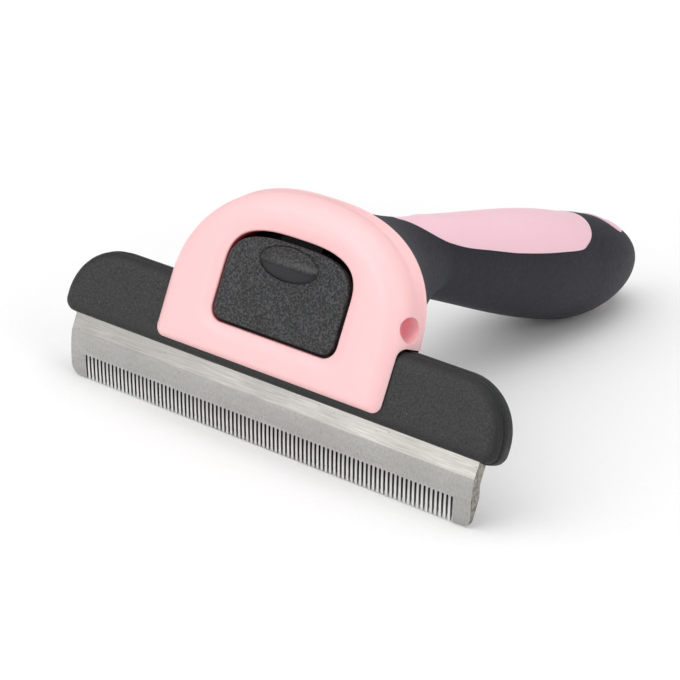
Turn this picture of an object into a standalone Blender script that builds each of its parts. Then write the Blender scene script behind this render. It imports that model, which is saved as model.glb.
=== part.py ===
"""Deshedding tool: a comb blade in a push-button cartridge, on a head with a soft-grip handle.

Sizes are in millimetres and MM turns them into metres. The tool stands on its teeth and on
the underside of its handle. +X runs along the blade, +Y from the comb towards the handle's
end, +Z up.

The head leans back. Its pieces are drawn in head coordinates: x along the blade, n behind
the face of the head, and s up the face from a line just under the lip of the front shell.
The handle runs back and down. Its pieces are drawn with t along its axis.
"""

import math

import bpy
from mathutils import Vector

MM = 0.001
GAP = 0.3

# Head plane
LEAN = math.radians(17.5)
FACE_SETBACK = -2.43

# Front shell: a D with straight sides up to the shoulder and an arch above it
LIP_BOTTOM = 0.8
SHOULDER = 13.5
CROWN_HALF, CROWN_TOP, CROWN_POWER = 29.2, 38.5, 2.22
RIM_HALF, RIM_TOP, RIM_POWER = 29.2, 38.8, 2.45
CROWN_INSET, CROWN_DEPTH = 5.0, 6.0
LIP_EASE = 0.4
CORNER_RADIUS = 2.6
FACE_THICKNESS = 2.3
WALL = 2.2
RIM_DEPTH = 9.0
ARCH_EDGE = 15.3
ARCH_CORNER = 2.0

# Window in the front shell, and the bevel round it
WINDOW_HALF, WINDOW_BOTTOM = 15.5, 8.3
WINDOW_SHOULDER, WINDOW_TOP = 19.7, 29.3
WINDOW_POWER = 3.0
WINDOW_CORNER = 3.0
BEVEL_WIDTH, BEVEL_DEPTH = 1.8, 0.8

# Release button, its hinge pin and the bores in the cheeks
PANEL_GAP = 0.6
PANEL_TOP = 28.0
PANEL_FRONT, PANEL_BACK = 0.3, 2.25
PANEL_EDGE = 0.5
PIN_S, PIN_N = 18.9, 4.45
PIN_RADIUS, PIN_HALF = 1.05, 18.6
PIN_CLEARANCE = 0.15
EAR_RADIUS = 2.2
EAR_INNER, EAR_OUTER = 11.5, 14.9
ROOT = 0.4
STOP_HALF, STOP_NECK, STOP_BACK = 5.0, 2.65, 3.7
STOP_BOTTOM, STOP_STEP, STOP_TOP = 26.6, 27.5, 30.6
PUSHER_HALF, PUSHER_BACK = 2.8, 8.45
PUSHER_BOTTOM, PUSHER_TOP = 24.4, 26.2
SADDLE_INNER, SADDLE_OUTER = 16.0, 18.4
SADDLE_HALF, SADDLE_BACK = 2.3, 6.4
BUMP_X, BUMP_S = -0.1, 23.8
BUMP_HALF_WIDTH, BUMP_HALF_HEIGHT, BUMP_HEIGHT = 7.0, 3.4, 2.1
BORE_RADIUS, BORE_FLOOR = 2.6, 23.8
CUP_WALL, CUP_OUTER = 0.5, 26.9

# Catch spring, screwed to the handle core above the window
CATCH_FRONT, CATCH_BACK = 8.7, 9.1
CATCH_TOP, CATCH_BOTTOM = 36.0, 17.4
CATCH_HALF, CATCH_FOOT_HALF, CATCH_FOOT_BOTTOM = 3.2, 7.0, 31.0
CATCH_SCREW_X, CATCH_SCREW_S = 4.7, 33.5
CATCH_HOLE, CATCH_THREAD, CATCH_HEAD = 1.15, 0.95, 1.9
NOSE_FRONT, NOSE_BOTTOM, NOSE_EDGE, NOSE_TOP = 7.0, 18.8, 20.5, 21.15

# Cartridge: two carrier plates, the blade between them and its rivets
WING_HALF, WING_TOP, WING_BOTTOM = 53.6, 14.7, -0.6
WING_CORNER, WING_HEEL = 11.6, 2.7
FRONT_PLATE = (2.6, 4.95)
REAR_PLATE = (5.25, 9.0)
WING_EDGE, FRONT_CHAMFER = 1.8, 0.5
REAR_MARGIN, REAR_CHAMFER = 0.3, 0.8
POCKET_BOTTOM, POCKET_TOP = -4.0, 0.6
TONGUE_HALF, TONGUE_TOP = 12.4, 23.5
TONGUE = (6.9, 8.3)
NOTCH_HALF, NOTCH_BOTTOM, NOTCH_TOP = 4.0, 18.4, 21.4
RIVET_X = (-38.0, -13.0, 13.0, 38.0)
RIVET_S = 4.4
RIVET_RADIUS, RIVET_HEAD_RADIUS = 1.4, 2.5
RIVET_FRONT, RIVET_SEAT, RIVET_BACK = 3.4, 8.25, 8.95
FIT = 0.15

# Comb blade, 4 inches wide
BLADE_HALF = 50.8
BLADE_FRONT, BLADE_BACK = 4.6, 7.6
BLADE_TOP, RIDGE = 8.8, -4.2
TANG_HALF, TANG_SHOULDER = 47.5, 0.2
SLOTS = 90
SLOT_PITCH = 1.044
SLOT_WIDTH = 0.5
SLOT_TOP, SLOT_FRONT = -8.9, 6.3
TIP_S, TIP_FRONT, TIP_BACK = -14.0, 9.1, 9.35
HEEL = ((-5.0, BLADE_BACK), (-7.6, 9.0))
BLADE_CORNER = 2.0

# Handle: an axis that slopes down to the back and lifts a little towards the end
SLOPE = math.radians(13.4)
NECK_Y = 55.75
THIN_RADIUS, THIN_T = 8.4, -18.7
BELLY_RADIUS, BELLY_T = 13.6, 63.6
END_T, TIP_T = 71.3, 109.9
END_POWER = 1.82
LIFT_T, LIFT_SPAN, LIFT, LIFT_POWER = 68.0, 40.0, 4.1, 1.5
SLEEVE_PLANE = RIM_DEPTH + GAP
SLEEVE_INSET = 0.4
RUBBER = 2.2
FLARE_STEPS, BODY_STEPS, END_STEPS = 7, 8, 8
FLARE_EASE, FLARE_EASE_BELOW = 1.6, 1.1

# Inlay on top of the handle: half width against t, from its pointed end to its round end
INLAY_POINTS = ((-12.6, 1.2), (-11.0, 3.3), (-8.6, 5.3), (-4.4, 6.9), (3.8, 8.2), (14.9, 9.3),
                (29.4, 10.7), (43.7, 11.6), (57.4, 11.75), (62.8, 10.9), (67.2, 9.2), (70.4, 6.6),
                (72.3, 3.8), (73.2, 1.4))
INLAY_FLOOR = 1.0

# Hanging hole and its eyelet, which stands a little proud of the rubber on top
EYELET_T = 92.8
EYELET_HALF_WIDTH, EYELET_HALF_LENGTH, EYELET_POWER = 6.2, 5.0, 2.2
EYELET_PROUD = 0.3
EYELET_SEAT = 15.0
EYELET_TUBE, HOLE_RADIUS = 4.4, 3.0

# Recess and guide ribs in the front of the handle core
RECESS_HALF, RECESS_BACK, RECESS_BOTTOM = 4.2, 11.6, 16.4
RIB_INNER, RIB_OUTER, RIB_FRONT = 12.8, 14.4, 7.0
RIB_BOTTOM, RIB_TOP = 15.9, 23.0

# Screws that hold the front shell to the handle core
SHELL_SCREWS = ((-21.0, 18.7), (21.0, 18.7), (-16.7, 28.2), (16.7, 28.2))
BOSS_RADIUS, PILOT_RADIUS = 2.3, 1.2
SCREW_RADIUS, SCREW_HEAD_RADIUS = 1.0, 2.1
SCREW_SEAT = 10.8
SIDES = 20

PINK = (0.985, 0.635, 0.650)
INLAY_PINK = (0.895, 0.610, 0.690)
PANEL_BLACK = (0.052, 0.054, 0.052)
CARRIER_BLACK = (0.046, 0.048, 0.047)
RUBBER_BLACK = (0.036, 0.037, 0.043)
STEEL = (0.560, 0.550, 0.530)
SPRING_STEEL = (0.420, 0.420, 0.430)


def head_height():
    """Height of the head plane's origin, with the teeth's tips at z = 0."""
    tips = [(TIP_S, TIP_FRONT), (TIP_S, TIP_BACK)]
    return -min(s * math.cos(LEAN) - n * math.sin(LEAN) for s, n in tips)


HEAD_Z = head_height()


def head_point(x, n, s):
    y = FACE_SETBACK + s * math.sin(LEAN) + n * math.cos(LEAN)
    z = HEAD_Z + s * math.cos(LEAN) - n * math.sin(LEAN)
    return (x, y, z)


def clear_scene():
    for item in list(bpy.data.objects):
        bpy.data.objects.remove(item, do_unlink=True)


def make_material(name, colour, roughness, metallic=0.0):
    material = bpy.data.materials.new(name)
    material.use_nodes = True
    shader = material.node_tree.nodes["Principled BSDF"]
    shader.inputs["Base Color"].default_value = (*colour, 1.0)
    shader.inputs["Roughness"].default_value = roughness
    shader.inputs["Metallic"].default_value = metallic
    material.diffuse_color = (*colour, 1.0)
    return material


def make_object(name, points, faces, parent, material=None, sharp=35.0):
    """A mesh object from points in millimetres. Without a material it is a hidden cutter or guide."""
    mesh = bpy.data.meshes.new(name)
    mesh.from_pydata([Vector(point) * MM for point in points], [], faces)
    mesh.update()
    item = bpy.data.objects.new(name, mesh)
    bpy.context.collection.objects.link(item)
    item.parent = parent
    if material is None:
        item.hide_render = True
        item.hide_set(True)
        item.display_type = "WIRE"
        return item
    mesh.materials.append(material)
    mesh.shade_smooth()
    mesh.set_sharp_from_angle(angle=math.radians(sharp))
    return item


def signed_volume(points, faces):
    total = 0.0
    for face in faces:
        first = Vector(points[face[0]])
        for i in range(1, len(face) - 1):
            total += first.dot(Vector(points[face[i]]).cross(Vector(points[face[i + 1]])))
    return total


def flipped(face):
    """The face turned round, still starting at its first corner."""
    return (face[0], *reversed(face[1:]))


def facing_out(points, faces):
    if signed_volume(points, faces) < 0:
        return [flipped(face) for face in faces]
    return faces


def skin(rings, ring_shaped=False):
    """Points and faces of the surface through a row of rings, all with the same number of points.

    The two end rings are filled, or are joined to each other when ring_shaped is set.
    """
    count = len(rings[0])
    points = [point for ring in rings for point in ring]
    faces = []
    pairs = len(rings) if ring_shaped else len(rings) - 1
    for r in range(pairs):
        near = r * count
        far = (r + 1) % len(rings) * count
        for i in range(count):
            j = (i + 1) % count
            faces.append((near + i, near + j, far + j, far + i))
    if not ring_shaped:
        faces.append(tuple(reversed(range(count))))
        faces.append(tuple(range(len(points) - count, len(points))))
    return points, facing_out(points, faces)


def add_skin(name, rings, parent, material=None, ring_shaped=False, sharp=35.0):
    points, faces = skin(rings, ring_shaped)
    return make_object(name, points, faces, parent, material, sharp)


def add_modifier(item, cutter, operation):
    modifier = item.modifiers.new(cutter.name, "BOOLEAN")
    modifier.operation = operation
    modifier.solver = "EXACT"
    modifier.object = cutter


def cut(item, *cutters):
    for cutter in cutters:
        add_modifier(item, cutter, "DIFFERENCE")


def join(item, *others):
    for other in others:
        add_modifier(item, other, "UNION")


def arc(centre, radius, start, end, steps):
    """Points on an arc, angles in degrees."""
    result = []
    for k in range(steps + 1):
        angle = math.radians(start + (end - start) * k / steps)
        result.append((centre[0] + radius * math.cos(angle), centre[1] + radius * math.sin(angle)))
    return result


def d_outline(half, bottom, shoulder, top, power, corner):
    """Points (x, s) of a D, from the middle of its flat bottom round to the right."""
    right = [(0.0, bottom), ((half - corner) * 0.5, bottom)]
    right += arc((half - corner, bottom + corner), corner, -90, 0, 4)
    right += [(half, bottom + corner + (shoulder - bottom - corner) * 0.5)]
    for k in range(12):
        angle = math.radians(90 * k / 12)
        across = math.cos(angle) ** (2 / power)
        up = math.sin(angle) ** (2 / power)
        right.append((half * across, shoulder + (top - shoulder) * up))
    left = [(-x, s) for x, s in reversed(right[1:])]
    return right + [(0.0, top)] + left


def crown_outline(inset=0.0):
    """The crown's outline. Its bottom edge is rounded less than its sides and its top."""
    corner = max(CORNER_RADIUS - inset, 0.8)
    bottom = LIP_BOTTOM + inset * LIP_EASE
    return d_outline(CROWN_HALF - inset, bottom, SHOULDER, CROWN_TOP - inset, CROWN_POWER, corner)


def rim_outline(inset=0.0):
    corner = max(CORNER_RADIUS - inset, 0.8)
    return d_outline(RIM_HALF - inset, LIP_BOTTOM + inset, SHOULDER, RIM_TOP - inset, RIM_POWER, corner)


def window_outline(inset, top=WINDOW_TOP):
    corner = max(WINDOW_CORNER - inset, 0.8)
    half = WINDOW_HALF - inset
    return d_outline(half, WINDOW_BOTTOM + inset, WINDOW_SHOULDER, top - inset, WINDOW_POWER, corner)


def at_depth(outline, n):
    """Head-coordinate points (x, n, s) of an outline at one depth."""
    return [(x, n, s) for x, s in outline]


def plate(name, outline, near, far, parent, material=None, sharp=35.0):
    return add_skin(name, [at_depth(outline, near), at_depth(outline, far)], parent, material, sharp=sharp)


def rounded_plate(name, outline_at, near, far, edge, parent, material):
    """A plate whose near edge is rounded. outline_at gives its outline at an inset."""
    rings = [at_depth(outline_at(0.0), far)]
    for k in range(4):
        angle = math.radians(30 * k)
        inset = edge * (1 - math.cos(angle))
        rings.append(at_depth(outline_at(inset), near + edge * (1 - math.sin(angle))))
    return add_skin(name, rings, parent, material)


def box(name, x, n, s, parent, material=None):
    outline = [(x[0], s[0]), (x[1], s[0]), (x[1], s[1]), (x[0], s[1])]
    return plate(name, outline, n[0], n[1], parent, material)


def across(name, outline, x0, x1, parent, material=None, sharp=35.0):
    """A prism along x from an outline of (n, s) points."""
    rings = [[(x, n, s) for n, s in outline] for x in (x0, x1)]
    return add_skin(name, rings, parent, material, sharp=sharp)


def rod(name, x, s, steps, parent, material=None, sides=SIDES):
    """A stepped round solid along n, from a list of (n, radius)."""
    rings = []
    for n, radius in steps:
        circle = arc((x, s), radius, 0, 360 * (sides - 1) / sides, sides - 1)
        rings.append(at_depth(circle, n))
    return add_skin(name, rings, parent, material)


def circle_outline(n, s, radius, sides=SIDES):
    return arc((n, s), radius, 0, 360 * (sides - 1) / sides, sides - 1)


# ---------------------------------------------------------------- head


def crown_section():
    """The inset and the depth of each step of the rounded crown, from its side to its face."""
    turns = [math.radians(18.0 * k) for k in range(6)]
    return [(CROWN_INSET * (1 - math.cos(turn)), CROWN_DEPTH * (1 - math.sin(turn))) for turn in turns]


def front_shell(head, pink):
    """The D-shaped front shell, with its window, cheek bores, pin saddles and screw bosses."""
    rings = [at_depth(rim_outline(), RIM_DEPTH)]
    for inset, depth in crown_section():
        rings.append(at_depth(crown_outline(inset), depth))
    rings.append(at_depth(window_outline(-BEVEL_WIDTH), 0.0))
    rings.append(at_depth(window_outline(0.0), BEVEL_DEPTH))
    rings.append(at_depth(window_outline(0.0), FACE_THICKNESS))
    rings.append(at_depth(crown_outline(WALL), FACE_THICKNESS))
    rings.append(at_depth(rim_outline(WALL), RIM_DEPTH))
    shell = add_skin("front_shell", rings, head, pink, ring_shaped=True)
    cut(shell, cartridge_channel(head))
    for side, sign in (("left", -1), ("right", 1)):
        join(shell, pin_saddle(f"saddle_{side}", sign, head))
        cup = circle_outline(PIN_N, PIN_S, BORE_RADIUS + CUP_WALL)
        cup_x = sorted((sign * (BORE_FLOOR - CUP_WALL), sign * CUP_OUTER))
        join(shell, across(f"cup_{side}", cup, *cup_x, head))
        cut(shell, cheek_bore(f"bore_{side}", sign, head))
    for index, (x, s) in enumerate(SHELL_SCREWS):
        screw_boss(shell, index + 1, x, s, head)


def cartridge_channel(head):
    """The space that the wings pass through, with a rounded top corner behind the lip."""
    corner = arc((FACE_THICKNESS + ARCH_CORNER, ARCH_EDGE - ARCH_CORNER), ARCH_CORNER, 180, 90, 4)
    back = RIM_DEPTH + 3.0
    outline = [(FACE_THICKNESS, -4.0), *corner, (back, ARCH_EDGE), (back, -4.0)]
    return across("channel_cutter", outline, -60.0, 60.0, head)


def pin_saddle(name, sign, head):
    """A lug on the back of the face, with a snap-in seat that is open to the rear."""
    seat = arc((PIN_N, PIN_S), PIN_RADIUS + PIN_CLEARANCE, -50, -310, 12)
    low, high = PIN_S - SADDLE_HALF, PIN_S + SADDLE_HALF
    root = FACE_THICKNESS - ROOT
    outline = [(root, low), (SADDLE_BACK, low), (SADDLE_BACK, seat[0][1]), *seat,
               (SADDLE_BACK, seat[-1][1]), (SADDLE_BACK, high), (root, high)]
    return across(name, outline, sign * SADDLE_INNER, sign * SADDLE_OUTER, head)


def cheek_bore(name, sign, head):
    """A blind round bore in the side of the shell."""
    return across(name, circle_outline(PIN_N, PIN_S, BORE_RADIUS), sign * BORE_FLOOR, sign * 40.0, head)


def screw_boss(shell, index, x, s, head):
    """A round boss behind the face, with a blind pilot hole."""
    boss = ((FACE_THICKNESS - ROOT, BOSS_RADIUS), (RIM_DEPTH, BOSS_RADIUS))
    pilot = ((FACE_THICKNESS, PILOT_RADIUS), (RIM_DEPTH + 2.0, PILOT_RADIUS))
    join(shell, rod(f"boss_{index}", x, s, boss, head))
    cut(shell, rod(f"pilot_{index}", x, s, pilot, head))


def release_button(head, hinge, black):
    """The panel in the window, with a thumb bump, hinge ears, a stop and a pusher behind it."""
    top = PANEL_TOP + PANEL_GAP
    button = rounded_plate("release_button", lambda inset: window_outline(PANEL_GAP + inset, top),
                           PANEL_FRONT, PANEL_BACK, PANEL_EDGE, head, black)
    join(button, thumb_bump(head))
    for side, sign in (("left", -1), ("right", 1)):
        join(button, hinge_ear(f"ear_{side}", sign, head))
    root = PANEL_BACK - ROOT
    stop = [(root, STOP_BOTTOM), (STOP_BACK, STOP_BOTTOM), (STOP_BACK, STOP_TOP), (STOP_NECK, STOP_TOP),
            (STOP_NECK, STOP_STEP), (root, STOP_STEP)]
    join(button, across("stop", stop, -STOP_HALF, STOP_HALF, head))
    pusher_s = (PUSHER_BOTTOM, PUSHER_TOP)
    join(button, box("pusher", (-PUSHER_HALF, PUSHER_HALF), (root, PUSHER_BACK), pusher_s, head))
    pin_hole = circle_outline(PIN_N, PIN_S, PIN_RADIUS + PIN_CLEARANCE, 16)
    cut(button, across("button_pin_hole", pin_hole, -20.0, 20.0, head))
    button.parent = hinge
    button.location = (0.0, -PIN_N * MM, -PIN_S * MM)


def thumb_bump(head):
    """An oval bump: a long slope on its upper side and a steep one below its ridge."""
    rings = [at_depth(bump_oval(1.0), PANEL_FRONT + ROOT)]
    for scale, share in ((1.0, 0.0), (0.86, 0.47), (0.62, 0.79), (0.34, 1.0)):
        rings.append(at_depth(bump_oval(scale), PANEL_FRONT - BUMP_HEIGHT * share))
    return add_skin("thumb_bump", rings, head)


def bump_oval(scale):
    """An oval across the bump. The smaller it is, the lower it sits, towards the ridge."""
    middle = BUMP_S - (1.0 - scale) * BUMP_HALF_HEIGHT * 0.4
    points = []
    for k in range(24):
        angle = math.radians(15 * k)
        points.append((BUMP_X + BUMP_HALF_WIDTH * scale * math.cos(angle),
                       middle + BUMP_HALF_HEIGHT * scale * math.sin(angle)))
    return points


def hinge_ear(name, sign, head):
    """A rounded lug on the button's back that the hinge pin runs through."""
    round_end = arc((PIN_N, PIN_S), EAR_RADIUS, 90, -90, 10)
    root = PANEL_BACK - ROOT
    outline = [(root, PIN_S - EAR_RADIUS), (root, PIN_S + EAR_RADIUS), *round_end]
    return across(name, outline, sign * EAR_INNER, sign * EAR_OUTER, head)


def hinge_pin(head, steel):
    across("hinge_pin", circle_outline(PIN_N, PIN_S, PIN_RADIUS, 16), -PIN_HALF, PIN_HALF, head, steel)


def catch_spring(head, steel):
    """A leaf spring: a foot with two screw holes, and a nose that locks the cartridge's tongue."""
    nose = [(CATCH_FRONT, NOSE_TOP), (NOSE_FRONT, NOSE_TOP), (NOSE_FRONT, NOSE_EDGE),
            (CATCH_FRONT, NOSE_BOTTOM)]
    outline = [(CATCH_BACK, CATCH_BOTTOM), (CATCH_BACK, CATCH_TOP), (CATCH_FRONT, CATCH_TOP), *nose,
               (CATCH_FRONT, CATCH_BOTTOM)]
    spring = across("catch_spring", outline, -CATCH_HALF, CATCH_HALF, head, steel)
    foot_x = (-CATCH_FOOT_HALF, CATCH_FOOT_HALF)
    foot_s = (CATCH_FOOT_BOTTOM, CATCH_TOP - ROOT)
    join(spring, box("catch_foot", foot_x, (CATCH_FRONT, CATCH_BACK), foot_s, head))
    for side, sign in (("left", -1), ("right", 1)):
        hole = ((CATCH_FRONT - 1.0, CATCH_HOLE), (CATCH_BACK + 1.0, CATCH_HOLE))
        cut(spring, rod(f"catch_hole_{side}", sign * CATCH_SCREW_X, CATCH_SCREW_S, hole, head, sides=12))


def catch_screws(head, steel):
    for side, sign in (("left", -1), ("right", 1)):
        steps = ((CATCH_FRONT - 1.2, CATCH_HEAD - 0.4), (CATCH_FRONT - 0.9, CATCH_HEAD),
                 (CATCH_FRONT - FIT, CATCH_HEAD), (CATCH_FRONT - FIT, CATCH_THREAD),
                 (13.0, CATCH_THREAD), (13.6, 0.4))
        rod(f"catch_screw_{side}", sign * CATCH_SCREW_X, CATCH_SCREW_S, steps, head, steel, 12)


def shell_screws(head, steel):
    """Four screws from behind, through the handle core, into the front shell's bosses."""
    for index, (x, s) in enumerate(SHELL_SCREWS):
        steps = ((3.4, 0.4), (4.2, SCREW_RADIUS), (SCREW_SEAT + FIT, SCREW_RADIUS),
                 (SCREW_SEAT + FIT, SCREW_HEAD_RADIUS), (SCREW_SEAT + 1.2, SCREW_HEAD_RADIUS),
                 (SCREW_SEAT + 1.6, SCREW_HEAD_RADIUS - 0.5))
        rod(f"shell_screw_{index + 1}", x, s, steps, head, steel, 16)


# ----------------------------------------------------------- cartridge


def wing_outline(inset=0.0):
    """Points (x, s) of the carrier plates: a bar with big upper and small lower corners."""
    half, top, bottom = WING_HALF - inset, WING_TOP - inset, WING_BOTTOM + inset
    small = max(WING_HEEL - inset, 0.5)
    big = WING_CORNER - inset
    right = arc((half - small, bottom + small), small, -90, 0, 4)
    right += arc((half - big, top - big), big, 0, 90, 8)
    left = [(-x, s) for x, s in reversed(right)]
    return right + left


def carrier_front(head, slide, black):
    """The front plate of the cartridge, which carries the two wings seen beside the shell."""
    near, far = FRONT_PLATE
    rings = [at_depth(wing_outline(FRONT_CHAMFER), far), at_depth(wing_outline(), far - FRONT_CHAMFER)]
    for k in range(4):
        angle = math.radians(30 * k)
        inset = WING_EDGE * (1 - math.cos(angle))
        rings.append(at_depth(wing_outline(inset), near + WING_EDGE * (1 - math.sin(angle))))
    front = add_skin("carrier_front", rings, slide, black)
    blade_pockets(front, "front", (BLADE_FRONT - FIT, far + 3.0), head)
    for index, x in enumerate(RIVET_X):
        hole = ((RIVET_FRONT, RIVET_RADIUS + FIT), (far + 3.0, RIVET_RADIUS + FIT))
        cut(front, rod(f"front_rivet_hole_{index + 1}", x, RIVET_S, hole, head, sides=12))


def blade_pockets(plate_object, name, depth, head):
    """Cuts the room for the blade and, inset from its ends, for its tang."""
    low, high = POCKET_BOTTOM, POCKET_TOP
    blade_x = (-BLADE_HALF - GAP, BLADE_HALF + GAP)
    tang_x = (-TANG_HALF - GAP, TANG_HALF + GAP)
    cut(plate_object, box(f"{name}_pocket", blade_x, depth, (low, high), head))
    cut(plate_object, box(f"{name}_tang_pocket", tang_x, depth, (low, BLADE_TOP + GAP), head))


def carrier_rear(head, slide, black):
    """The rear plate of the cartridge, with the blade's pocket and the tongue that locks in the head."""
    near, far = REAR_PLATE
    narrow, wide = wing_outline(REAR_CHAMFER - REAR_MARGIN), wing_outline(-REAR_MARGIN)
    rings = [at_depth(narrow, near), at_depth(wide, near + REAR_CHAMFER),
             at_depth(wide, far - REAR_CHAMFER), at_depth(narrow, far)]
    rear = add_skin("carrier_rear", rings, slide, black)
    join(rear, box("tongue", (-TONGUE_HALF, TONGUE_HALF), TONGUE, (WING_TOP - 2.0, TONGUE_TOP), head))
    notch_s = (NOTCH_BOTTOM, NOTCH_TOP)
    cut(rear, box("tongue_notch", (-NOTCH_HALF, NOTCH_HALF), (TONGUE[0] - 1.0, far + 0.5), notch_s, head))
    blade_pockets(rear, "rear", (near - 2.0, BLADE_BACK + FIT), head)
    for index, x in enumerate(RIVET_X):
        hole = ((near - 2.0, RIVET_RADIUS + FIT), (RIVET_SEAT, RIVET_RADIUS + FIT),
                (RIVET_SEAT, RIVET_HEAD_RADIUS + GAP), (far + 1.0, RIVET_HEAD_RADIUS + GAP))
        cut(rear, rod(f"rear_rivet_hole_{index + 1}", x, RIVET_S, hole, head, sides=12))


def comb_blade(head, slide, steel):
    """The steel blade: a flat tang, a ridge, and a ground face that is slotted into teeth."""
    front_upper = [(BLADE_FRONT, RIDGE), (SLOT_FRONT, SLOT_TOP)]
    front_lower = [(TIP_FRONT, TIP_S)]
    back_lower = [(TIP_BACK, TIP_S)]
    back_upper = [(slot_depth_back(), SLOT_TOP), (HEEL[1][1], HEEL[1][0]), (HEEL[0][1], HEEL[0][0])]
    blade = toothed_body(slide, steel, front_upper, front_lower, back_lower, back_upper)
    tang_s = (RIDGE + 0.8, BLADE_TOP)
    step = TANG_SHOULDER
    outline = [(-BLADE_HALF, tang_s[0]), (BLADE_HALF, tang_s[0]), (BLADE_HALF, step), (TANG_HALF, step),
               (TANG_HALF, tang_s[1]), (-TANG_HALF, tang_s[1]), (-TANG_HALF, step), (-BLADE_HALF, step)]
    join(blade, plate("tang", outline, BLADE_FRONT, BLADE_BACK, head))
    for index, x in enumerate(RIVET_X):
        hole = ((3.0, RIVET_RADIUS + 0.2), (9.0, RIVET_RADIUS + 0.2))
        cut(blade, rod(f"blade_rivet_hole_{index + 1}", x, RIVET_S, hole, head, sides=12))
    for side, sign in (("left", -1), ("right", 1)):
        cut(blade, corner_cutter(f"blade_corner_{side}", sign, head))


def slot_depth_back():
    """Depth of the blade's back at the top of the slots."""
    share = (SLOT_TOP - HEEL[1][0]) / (TIP_S - HEEL[1][0])
    return HEEL[1][1] + (TIP_BACK - HEEL[1][1]) * share


def slot_edges():
    """The x of every slot's two sides, from left to right."""
    edges = []
    for k in range(SLOTS):
        middle = (k - (SLOTS - 1) / 2) * SLOT_PITCH
        edges += [middle - SLOT_WIDTH / 2, middle + SLOT_WIDTH / 2]
    return edges


def toothed_body(slide, steel, front_upper, front_lower, back_lower, back_upper):
    """The blade below its tang: one closed mesh with every slot left open down to the tips."""
    stations = [-BLADE_HALF, *slot_edges(), BLADE_HALF]
    top = RIDGE + 1.6
    upper_front = [(BLADE_FRONT, top), front_upper[0]]
    upper_back = [*back_upper[1:], (BLADE_BACK, top)]
    lower = [front_upper[-1], *front_lower, *back_lower, back_upper[0]]
    points, rows = [], []
    for x in stations:
        rows.append([len(points) + k for k in range(len(lower))])
        points += [(x, n, s) for n, s in lower]
    ends = []
    for x in (stations[0], stations[-1]):
        ends.append([len(points) + k for k in range(len(upper_front) + len(upper_back))])
        points += [(x, n, s) for n, s in [*upper_front, *upper_back]]
    left, right = ends
    front_row = [row[0] for row in rows]
    back_row = [row[-1] for row in rows]
    faces = [(left[0], left[1], right[1], right[0]), (left[0], right[0], right[-1], left[-1]),
             (left[1], *front_row, right[1]), (right[2], *reversed(back_row), left[2])]
    for k in range(2, len(left) - 1):
        faces.append((left[k], left[k + 1], right[k + 1], right[k]))
    faces.append((*left[:2], *rows[0], *left[2:]))
    faces.append((*right[:2], *rows[-1], *right[2:]))
    last = len(lower) - 1
    for index in range(len(stations) - 1):
        a, b = rows[index], rows[index + 1]
        if index % 2 == 0:
            faces += [(a[k], a[k + 1], b[k + 1], b[k]) for k in range(last)]
        else:
            faces.append((a[0], a[last], b[last], b[0]))
            faces.append(tuple(reversed(a)))
            faces.append(tuple(b))
    return make_object("comb_blade", points, facing_out(points, consistent(faces)), slide, steel)


def consistent(faces):
    """The same faces, each turned so that neighbours run the shared edge opposite ways."""
    owners = {}
    for index, face in enumerate(faces):
        for a, b in zip(face, face[1:] + face[:1]):
            owners.setdefault(frozenset((a, b)), []).append(index)
    result = [tuple(face) for face in faces]
    done, queue = {0}, [0]
    while queue:
        index = queue.pop()
        face = result[index]
        for a, b in zip(face, face[1:] + face[:1]):
            for other in owners[frozenset((a, b))]:
                if other in done:
                    continue
                ring = result[other]
                if (a, b) in zip(ring, ring[1:] + ring[:1]):
                    result[other] = flipped(ring)
                done.add(other)
                queue.append(other)
    return result


def corner_cutter(name, sign, head):
    """Rounds a bottom corner of the blade."""
    centre = (sign * (BLADE_HALF - BLADE_CORNER), TIP_S + BLADE_CORNER)
    curve = arc(centre, BLADE_CORNER, 270, 360 if sign > 0 else 180, 5)
    outline = [*curve, (sign * (BLADE_HALF + 1.0), centre[1]), (sign * (BLADE_HALF + 1.0), TIP_S - 1.0),
               (centre[0], TIP_S - 1.0)]
    return plate(name, outline, 6.0, 12.0, head)


def blade_rivets(slide, steel):
    for index, x in enumerate(RIVET_X):
        front, seat, back = RIVET_FRONT + FIT, RIVET_SEAT + FIT, RIVET_BACK
        steps = ((front, RIVET_RADIUS - 0.3), (front + 0.3, RIVET_RADIUS), (seat, RIVET_RADIUS),
                 (seat, RIVET_HEAD_RADIUS), (back - 0.2, RIVET_HEAD_RADIUS), (back, RIVET_HEAD_RADIUS - 0.6))
        rod(f"blade_rivet_{index + 1}", x, RIVET_S, steps, slide, steel, 16)


# -------------------------------------------------------------- handle


def handle_radius(t):
    """Outer radius of the grip at t: slim at the neck, full at the belly, round at the end."""
    if t <= END_T:
        share = min(max((t - THIN_T) / (BELLY_T - THIN_T), 0.0), 1.0)
        return THIN_RADIUS + (BELLY_RADIUS - THIN_RADIUS) * share * share * (3 - 2 * share)
    share = min((t - END_T) / (TIP_T - END_T), 1.0)
    return BELLY_RADIUS * math.sqrt(max(1 - share ** END_POWER, 0.0))


def lift(t):
    """How far the axis has risen above its straight slope at t."""
    return LIFT * max((t - LIFT_T) / LIFT_SPAN, 0.0) ** LIFT_POWER


def body_stations():
    """The t of every ring from the neck to the tip, closer together round the end."""
    body = [END_T * k / BODY_STEPS for k in range(BODY_STEPS + 1)]
    turns = [math.radians(84 * k / END_STEPS) for k in range(1, END_STEPS + 1)]
    return body + [END_T + (TIP_T - END_T) * math.sin(turn) for turn in turns]


def neck_height():
    """Height of the axis at the neck, with the lowest ring of the handle touching z = 0."""
    return -min(lift(t) - t * math.sin(SLOPE) - handle_radius(t) * math.cos(SLOPE) for t in body_stations())


NECK_Z = neck_height()


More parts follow.
